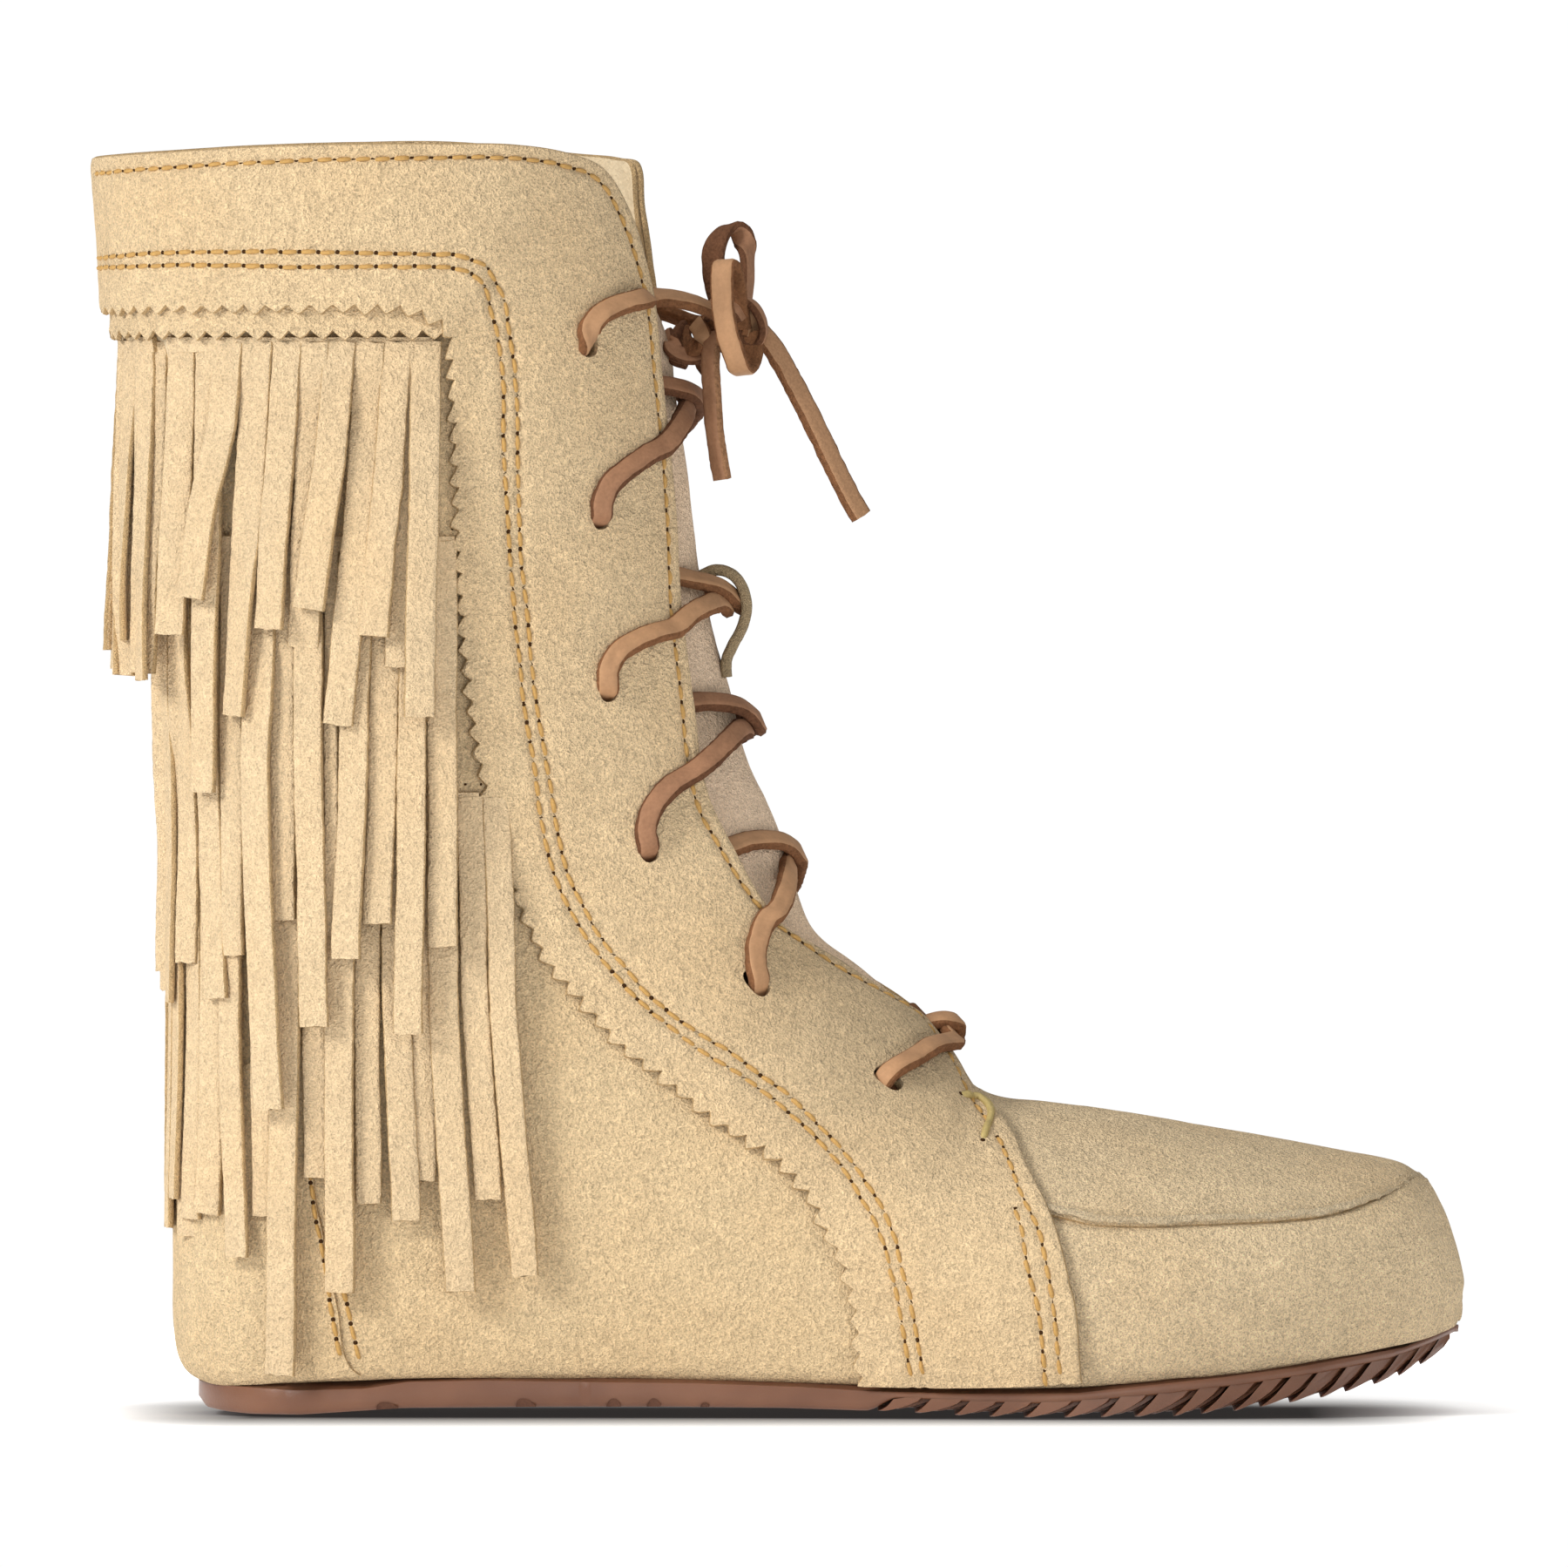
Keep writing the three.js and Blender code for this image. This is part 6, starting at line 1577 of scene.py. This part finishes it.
# lift of the lace's middle over the panel and under the facing
OVER = 0.5 + PANEL_THICK + LACE_THICK / 2 + 0.12
UNDER = -1.0 - 0.5 - LACE_THICK / 2
# leathers of a lace: grain face, flesh face, edges
LIGHT = ("lace_grain", "lace_flesh", "lace_flesh")
DARK = ("lace_grain_dark", "lace_flesh_dark", "lace_flesh_dark")


def arc_points(k, side):
    """from inside slot k, over the leather, to the facing edge"""
    x, z, lift = np.array(LACE_ARCS[k]).T
    sec, turn = from_side(x, z)
    return list(lifted(sec, side * turn, lift))


def ridge_point(x, z):
    """section and height over the surface of a point in the middle plane"""
    sec = np.linspace(9, 31, 600)
    base, out = skin(sec, 0 * sec)
    gap = np.array([x, 0, z]) - base
    gap[:, 1] = 0
    k = int(np.argmin((gap**2).sum(1)))
    return float(sec[k]), float((gap[k] * out[k]).sum())


def crossing(k, side):
    """from the facing edge, over the ridge of the tongue, under the other facing to the
    slot above"""
    (start_x, start_z), (ridge_x, ridge_z), (end_x, end_z) = CROSSINGS[k]
    start = float(from_side(start_x, start_z)[0][0])
    end = float(from_side(end_x, end_z)[0][0])
    ridge, height = ridge_point(ridge_x - LACE_THICK / 2, ridge_z)
    # the medial lace lies on top of the lateral one
    height = max(height, -1.0) + (LACE_THICK * 0.5 if side > 0 else -LACE_THICK * 0.55)
    start_turn, end_turn = float(facing_turn(start)), float(facing_turn(end))
    points = []
    for share, lift in ((1.0, OVER), (0.72, lerp(OVER, height, 0.30)),
                        (0.40, lerp(OVER, height, 0.75))):
        points.append(lifted(lerp(ridge, start, share), side * start_turn * share, lift))
    points.append(lifted(ridge, side * 0.02, height))
    for share, lift in ((0.35, lerp(height, UNDER, 0.25)), (0.70, lerp(height, UNDER, 0.75)),
                        (1.0, UNDER + 0.2)):
        points.append(lifted(lerp(ridge, end, share), -side * end_turn * share, lift))
    for share in (0.4, 0.75):
        sec = lerp(end, SLOT_SEC[k + 1], share)
        turn = lerp(end_turn, SLOT_TURN[k + 1], share)
        points.append(lifted(sec, -side * turn, UNDER))
    return points


def lace_directions(path):
    """width of the lace across its path, lying in the surface"""
    count = len(path)
    tangent = tangents(path)
    sec, turn = from_side(np.clip(path[:, 0], -10, 236), path[:, 2])
    out = normal(sec, np.where(path[:, 1] < section(sec)[:, 9], -1.0, 1.0) * turn)
    ridge = np.clip(1 - np.abs(path[:, 1]) / 14.0, 0, 1)[:, None]
    out = blur(lerp(out, normal(sec, 0.0), ridge), 6)
    out = perpendicular(out, tangent)
    out = perpendicular(out + np.array([0, 0, 1.0]) * (1 - ridge), tangent)
    wide = np.cross(out, tangent)
    # carry the direction through the slot where the lace runs along the normal
    for i in reversed(range(math.ceil(count * 0.10))):
        wide[i] = perpendicular(wide[i + 1], tangent[i])
    for i in range(1, count):
        if wide[i] @ wide[i - 1] < 0:
            wide[i] = -wide[i]
    wide = blur(wide, 2)
    if (np.cross(tangent, wide) * out)[count // 4 :].sum() < 0:
        wide = -wide
    return wide


def lace_run(k, side):
    """from slot k to the next slot on the other side, or from the top slot to the knot"""
    points = arc_points(k, side)
    points += crossing(k, side) if k < 5 else TO_KNOT[side]
    path = resample(points, 0.7)
    return strap(path, lace_directions(path), LACE_WIDTH, LACE_THICK,
                 LIGHT if k % 2 == 1 or k == 0 else DARK, seed=300 + k + 10 * (side > 0),
                 corner=0.35, rough_edge=0.2, rough_face=0.04)


def lace_bar():
    """bar between the lowest slots, under the facings"""
    sec, end = float(SLOT_SEC[0]), float(SLOT_TURN[0])
    points = []
    for turn in np.linspace(-end, end, 13):
        share = math.sin(min((1 - abs(turn) / end) * 1.4, 1) * math.pi / 2)
        points.append(lifted(sec - 0.15, turn, lerp(UNDER, 0.2, share)))
    return strap(resample(points, 0.8), up_direction(sec, 0.05), LACE_WIDTH, LACE_THICK,
                 ("lace_flesh", "lace_grain", "lace_flesh"), seed=350, rough_edge=0.1)


def build_laces():
    parts = []
    for first in (-1, 1):
        parts += [lace_run(k, first * (-1) ** k) for k in range(len(LACE_SLOTS))]
    make("lace_soft", parts + [lace_bar()], replaces=["lace"])


def build_slot_shadow(side, side_name):
    """dark plate under each slot, so the holes read as holes"""
    spread = np.linspace(-1, 1, 5)
    x_way, y_way = np.meshgrid(spread * 3.0, spread * 4.4, indexing="ij")
    parts = []
    for x, z in LACE_SLOTS:
        centre, out, up, cross = slot_frame(x, z, side)
        base = centre + cross * x_way[..., None] + up * y_way[..., None]
        parts.append(slab(base - out * 1.9, base - out * 2.1, face="slot_dark", edge="slot_dark"))
    make(f"slot_shadow_{side_name}", parts, angle=40)


# ------------------------------------------------------------ knot, bow, ends and keeper
def spread_directions(path, points, wide):
    """width directions along a path; they follow the given points, not the length"""
    count, last = len(path), len(points) - 1
    gap = ((path[:, None] - np.asarray(points, float)[None]) ** 2).sum(-1)
    nearest = [0]
    for i in range(1, last):
        low = nearest[-1] + 1
        high = min(count - (last - i), low + int(count * 0.3) + 2)
        nearest.append(low + int(np.argmin(gap[low:high, i])))
    nearest.append(count - 1)
    knots = np.interp(np.arange(count), nearest, np.arange(last + 1))
    return blur(at_distance(wide, np.arange(last + 1), knots), max(count // 24, 2))


def ribbon(points, wide, width, thick, seed, mats, step=0.6, rough=0.13):
    path, wide = resample(points, step), np.asarray(wide, float)
    if wide.ndim == 2:
        wide = spread_directions(path, points, wide)
    return strap(path, wide, width, thick, mats, seed, corner=0.35, rough_edge=rough,
                 rough_face=0.03, cap=0.3)


# object name, body it rides on and replaces, ribbon
BOW_PIECES = [
    ("bow_front", "bow_loop_front",
     dict(points=BOW_FRONT, wide=BOW_FRONT_WIDE, width=4.6, thick=1.9, seed=401, mats=LIGHT)),
    ("bow_back", "bow_loop_back",
     dict(points=BOW_BACK, wide=BOW_BACK_WIDE, width=4.6, thick=1.9, seed=402, mats=DARK)),
    ("end_short", "lace_end_short",
     dict(points=END_SHORT, wide=END_SHORT_WIDE, width=4.3, thick=2.2, seed=403, rough=0.22,
          mats=("lace_grain_dark", "lace_flesh", "lace_fuzz"))),
    ("end_long", "lace_end_long",
     dict(points=END_LONG, wide=END_LONG_WIDE, width=4.5, thick=2.6, seed=404, rough=0.22,
          mats=("lace_end", "lace_flesh", "lace_flesh"))),
]


def build_bow():
    for name, body, shape in BOW_PIECES:
        make(name, [ribbon(**shape)], body=body, replaces=[body])


def build_knot():
    parts = []
    for i, (points, wide, dark) in enumerate(KNOT_WRAPS):
        mats = DARK if dark else LIGHT
        parts.append(ribbon(points, wide, 3.9, 1.7, 410 + i, mats, step=0.5))
    ball = unit_ball(12, 17)
    lumps = (1 + relief(ball * 6, (0.08, 2.5, 420)))[..., None]
    core = ball * lumps * np.array([3.6, 3.8, 3.4]) + np.array(KNOT_CENTRE)
    parts.append((core.reshape(-1, 3), [grid_quads(12, 17)], "lace_flesh_dark"))
    make("knot", parts, replaces=["lace_knot"])


def build_keeper():
    """loop on the tongue"""
    path = resample(KEEPER, 0.6)
    width = 8.5 * (1 + relief(path, (0.05, 5, 430)))
    part = strap(path, (0, 1.0, 0), width, 2.2, ("keeper",) * 3, seed=431, cells=8,
                 rough_edge=0.2, rough_face=0.1, cap=0.3)
    make("keeper", [part], replaces=["tongue_lace_keeper"])


# ------------------------------------------------------------ outsole
SOLE_REAR, SOLE_FRONT = -18.0, 237.5
TREAD_START, TREAD_END = 119.5, 230.0
# x and half width at the bottom line, half width, centre y: from the heel to the toe
SOLE_PLAN = section(np.linspace(0.02, 20.9, 400))[::-1][:, [2, 5, 4, 9]]
# Half section of the rim: fraction of the height, offset of the half width
RIM = ((1.0, -1.2), (0.96, -0.15), (0.75, 0.1), (0.45, 0.15), (0.2, 0.0), (0.06, -0.35),
       (0.0, -0.9))
# Side view of a tread bar: x in pitches, depth in fractions of the tread
LUG_PROFILE = (
    (0.24, -0.3), (0.15, 0.30), (0.06, 0.72), (0.0, 0.93), (0.03, 1.0), (0.15, 1.0),
    (0.27, 0.93), (0.52, 0.74), (0.80, 0.44), (1.02, 0.16), (1.14, -0.3))
# Each pitch holds three bars: start and length in pitches, inset of the ends, raise
LUGS = ((0.0, 1.0, 0.1, 0.0), (0.42, 0.9, 2.4, 0.5), (0.80, 0.9, 6.0, 0.8))
# Small hollows in the side of the sole, drawn as thin patches of darker rubber that paint their shade:
# x, width, height, lean
HOLLOWS = ((66.2, 2.9, 1.6, 0.0), (74.3, 2.8, 1.6, 0.0), (84.6, 1.8, 0.8, 0.0),
           (20.5, 4.4, 1.3, -1.6), (48.5, 4.0, 1.6, -1.4))


def rounded(t):
    return np.sqrt(np.maximum(0, 1 - (1 - np.clip(t, 0, 1)) ** 2))


def sole_half(x, inset=0.0):
    """half width and centre y"""
    place = np.clip(x, -19.5, 236.5)
    low_half, half, centre = (np.interp(place, SOLE_PLAN[:, 0], SOLE_PLAN[:, k]) for k in (1, 2, 3))
    width = lerp(low_half, half, 0.55) - inset
    width = np.where(x < 20, np.maximum(width, 30.5 - inset), width)
    width = np.minimum(width, np.where(x < 60, 31 - inset + smooth(0, 60, x) * 3, 99))
    ends = rounded((x - SOLE_REAR) / (27.5 - inset)) * rounded((SOLE_FRONT - x) / 30.0) ** 0.8
    return float(np.maximum(width * ends, 1.3)), float(centre)


def sole_top(x):
    return float(np.interp(x, *np.array(SOLE_TOP).T))


def sole_bottom(x):
    return float(np.interp(x, *np.array(SOLE_BOTTOM).T))


def tread_base(x):
    """underside of the solid part: at the ground behind the tread, above it in the tread"""
    depth = 2.9 + 2.2 * smooth(150, 190, x) - 1.2 * smooth(205, 236, x)
    return float(min(sole_bottom(x) + smooth(117, 124, x) * depth, sole_top(x) - 1.4))


def sole_body():
    stations = np.concatenate(
        [np.linspace(-18, -8, 26), np.linspace(-7.5, 226, 240), np.linspace(226.6, 237.4, 40)])
    rings = []
    for x in stations:
        half, centre = sole_half(x)
        top = sole_top(x)
        low = min(tread_base(x), top - 0.8)
        inner = max(half - 3.5, 0.3)
        rim = [(half + offset, low + (top - low) * f) for f, offset in RIM]
        ring = [(-y, z) for y, z in rim] + [(-inner * 0.5, low), (inner * 0.5, low)] + rim[::-1]
        tuck = 1.2 - 1.9 * float(smooth(222, 233, x))
        ring += [(inner, top + tuck), (-inner, top + tuck)]
        rings.append([(x, centre + y, z) for y, z in ring])
    return loft(rings, len(rings), len(rings[0]), "rubber")


def lug(start, pitch, inset, raised):
    """a saw-tooth bar across the sole: steep behind, long slope in front, rounded ends"""
    profile = []
    for share, depth in LUG_PROFILE:
        x = start + share * pitch
        top, low = tread_base(x), sole_bottom(x) + raised
        if depth > 0:
            depth = lerp(depth, depth**0.45, float(smooth(165, 205, start)))
        x += lerp(0.55, 0.95, float(smooth(150, 200, start))) * (top - low) * (1 - depth)
        if start > 200:
            top, low = tread_base(x), sole_bottom(min(x, 235.8)) + raised
        profile.append((min(x, 235.6), min(lerp(top, low, depth), sole_top(x) - 0.5)))
    middle_x, middle_z = np.mean(profile, axis=0)
    across = np.concatenate([[-1.0, -0.985, -0.93], np.linspace(-0.88, 0.88, 9), [0.93, 0.985, 1.0]])
    verts = []
    for y in across:
        shrink = 1 - 0.16 * max(abs(y) - 0.93, 0) / 0.07
        for x, z in profile:
            half, centre = sole_half(x, inset)
            end_z = middle_z + (z - middle_z) * (shrink if z < middle_z else 1.0)
            verts.append((middle_x + (x - middle_x) * shrink, centre + y * half, end_z))
    return loft(verts, len(across), len(profile), "rubber")


def tread():
    parts, x, i = [], TREAD_START, 0
    while x < TREAD_END:
        if x < 175:
            pitch = 7.4 + 0.7 * math.sin(i * 1.9)
        else:
            pitch = 5.9 + 0.7 * math.sin(i * 2.3)
        pitch *= 1.0 - 0.2 * float(smooth(200, 232, x))
        for start, length, inset, raised in LUGS:
            parts.append(lug(x + pitch * start, pitch * length, inset, raised))
        x += pitch
        i += 1
    return parts


def hollow(middle, width, height, lean, side):
    verts = []
    for offset in (0.32, -0.6):
        for x in np.linspace(middle - width / 2, middle + width / 2, 7):
            half, centre = sole_half(x)
            low = sole_bottom(x) + 0.12
            arch = 1 - abs(2 * (x - middle) / width) ** 3
            verts.append((x, centre + side * (half + offset - 0.55), low - 0.1))
            verts.append((x + lean * arch * 0.5, centre + side * (half + offset - 0.12),
                          low + height * max(arch, 0.08)))
    outer, inner = np.array(verts).reshape(2, 7, 2, 3)
    # the darker rubber is painted shade of the hollow
    return slab(outer, inner, bulge=0.0, face="rubber_hollow_shade", edge="rubber_hollow_shade")


def build_sole():
    parts = [sole_body()] + tread()
    parts += [hollow(*spec, side) for spec in HOLLOWS for side in (-1, 1)]
    make("sole", parts, replaces=["outsole"], angle=38)


def dress_cad_pieces():
    """materials for the CAD pieces that stay as they are"""
    looks = {"sole_filler": "foam", "insole_board": "board", "footbed": "lining",
             "vamp_lining": "lining"}
    for name, mat in looks.items():
        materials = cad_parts[name].data.materials
        materials.clear()
        materials.append(MATERIALS[mat])


# ------------------------------------------------------------ stage, light and camera (metres)
def build_floor():
    bpy.ops.mesh.primitive_circle_add(
        vertices=96, radius=0.6, fill_type="NGON", location=(0.1, 0, -0.0004))
    floor = bpy.context.object
    floor.name = "floor"
    white = (0.93, 0.93, 0.935)
    shader = Shader("floor_white")
    shader.look(Base_Color=(*white, 1), Emission_Color=(1, 1, 1, 1))
    # distance from a rectangle under the boot, weighted along x
    away = shader.length([
        ("ABSOLUTE", None),
        ("SUBTRACT", (0.107, 0.030, 0.0)),
        ("MAXIMUM", (0.0, 0.0, 0.0)),
        ("MULTIPLY", (2.2, 1.0, 1.0)),
    ])
    # the contact shadow is seen by the camera only: it takes no bounced light off the boot
    seen = shader.node("LightPath").outputs["Is Camera Ray"]
    shadow = shader.product(seen, shader.remap(away, low=0.90, high=0.0, start=0.0, end=0.07))
    light = shader.math("SUBTRACT", 1.0, shadow)
    glow = shader.remap(away, low=0.22, high=1.0, start=0.03, end=0.19)
    shader.look(
        Base_Color=shader.tint(white, light),
        Emission_Strength=shader.product(light, glow),
        Roughness=0.9,
        Specular_IOR_Level=0.1,
    )
    floor.data.materials.append(shader.material)


def build_world():
    """white for the camera, a dim fill for everything else"""
    world = bpy.data.worlds.new("studio")
    world.use_nodes = True
    bpy.context.scene.world = world
    nodes, links = world.node_tree.nodes, world.node_tree.links
    nodes.clear()
    output = nodes.new("ShaderNodeOutputWorld")
    backdrop, fill = nodes.new("ShaderNodeBackground"), nodes.new("ShaderNodeBackground")
    for background, colour, strength in (
        (backdrop, (1, 1, 1, 1), 1.02),
        (fill, (1.0, 0.99, 0.98, 1), 0.36),
    ):
        background.inputs["Color"].default_value = colour
        background.inputs["Strength"].default_value = strength
    rays, mix = nodes.new("ShaderNodeLightPath"), nodes.new("ShaderNodeMixShader")
    links.new(rays.outputs["Is Camera Ray"], mix.inputs[0])
    links.new(fill.outputs[0], mix.inputs[1])
    links.new(backdrop.outputs[0], mix.inputs[2])
    links.new(mix.outputs[0], output.inputs[0])


def area_light(name, location, target, size, power, colour=(1, 1, 1)):
    light = bpy.data.lights.new(name, "AREA")
    light.shape, light.size, light.energy, light.color = "SQUARE", size, power, colour
    obj = new_object(name, light)
    obj.location = location
    aim = Vector(target) - Vector(location)
    obj.rotation_euler = aim.to_track_quat("-Z", "Y").to_euler()


def build_lights():
    area_light("key", location=(-1.35, -1.05, 1.05), target=(0.06, 0, 0.12), size=0.6,
               power=31.0, colour=(1.0, 0.985, 0.965))
    area_light("top", location=(0.0, -0.2, 1.9), target=(0.1, 0, 0.1), size=1.2, power=7.0)
    area_light("front", location=(0.5, -2.2, 0.5), target=(0.1, 0, 0.12), size=1.4,
               power=12.0, colour=(1.0, 0.99, 0.98))


def build_camera():
    """long lens from the lateral side, looking slightly down"""
    distance, tilt = 9.0, math.radians(1.0)
    view_width, sensor_width = 0.3177, 36.0
    aim_x, aim_z = 0.1006, 0.1272
    data = bpy.data.cameras.new("camera")
    data.sensor_width, data.sensor_fit = sensor_width, "HORIZONTAL"
    data.lens = sensor_width * distance / view_width
    data.clip_end = 100
    camera = new_object("camera", data)
    camera.location = (aim_x, -distance * math.cos(tilt), aim_z + distance * math.sin(tilt))
    camera.rotation_euler = (math.pi / 2 - tilt, 0, 0)
    scene = bpy.context.scene
    scene.camera = camera
    scene.view_settings.view_transform = "Standard"
    scene.view_settings.look = "None"


# ------------------------------------------------------------ the boot
panels = [build_front(side, side_name) for side, side_name in SIDES]
quarters = build_quarters()
heel = build_heel()
build_plug()
make("toe", [toe_wall(), toe_tip()], replaces=["toe_wall"], angle=60)
build_linings()
build_tongue()
build_pinked_strip()
for number, name in enumerate(TIERS):
    build_fringe(number, name)
for (side, side_name), panel, quarter in zip(SIDES, panels, quarters):
    build_stitching(side, side_name, surface_tree([panel, quarter, heel]))
build_laces()
for side, side_name in SIDES:
    build_slot_shadow(side, side_name)
build_bow()
build_knot()
build_keeper()
build_sole()
dress_cad_pieces()
build_floor()
build_world()
build_lights()
build_camera()
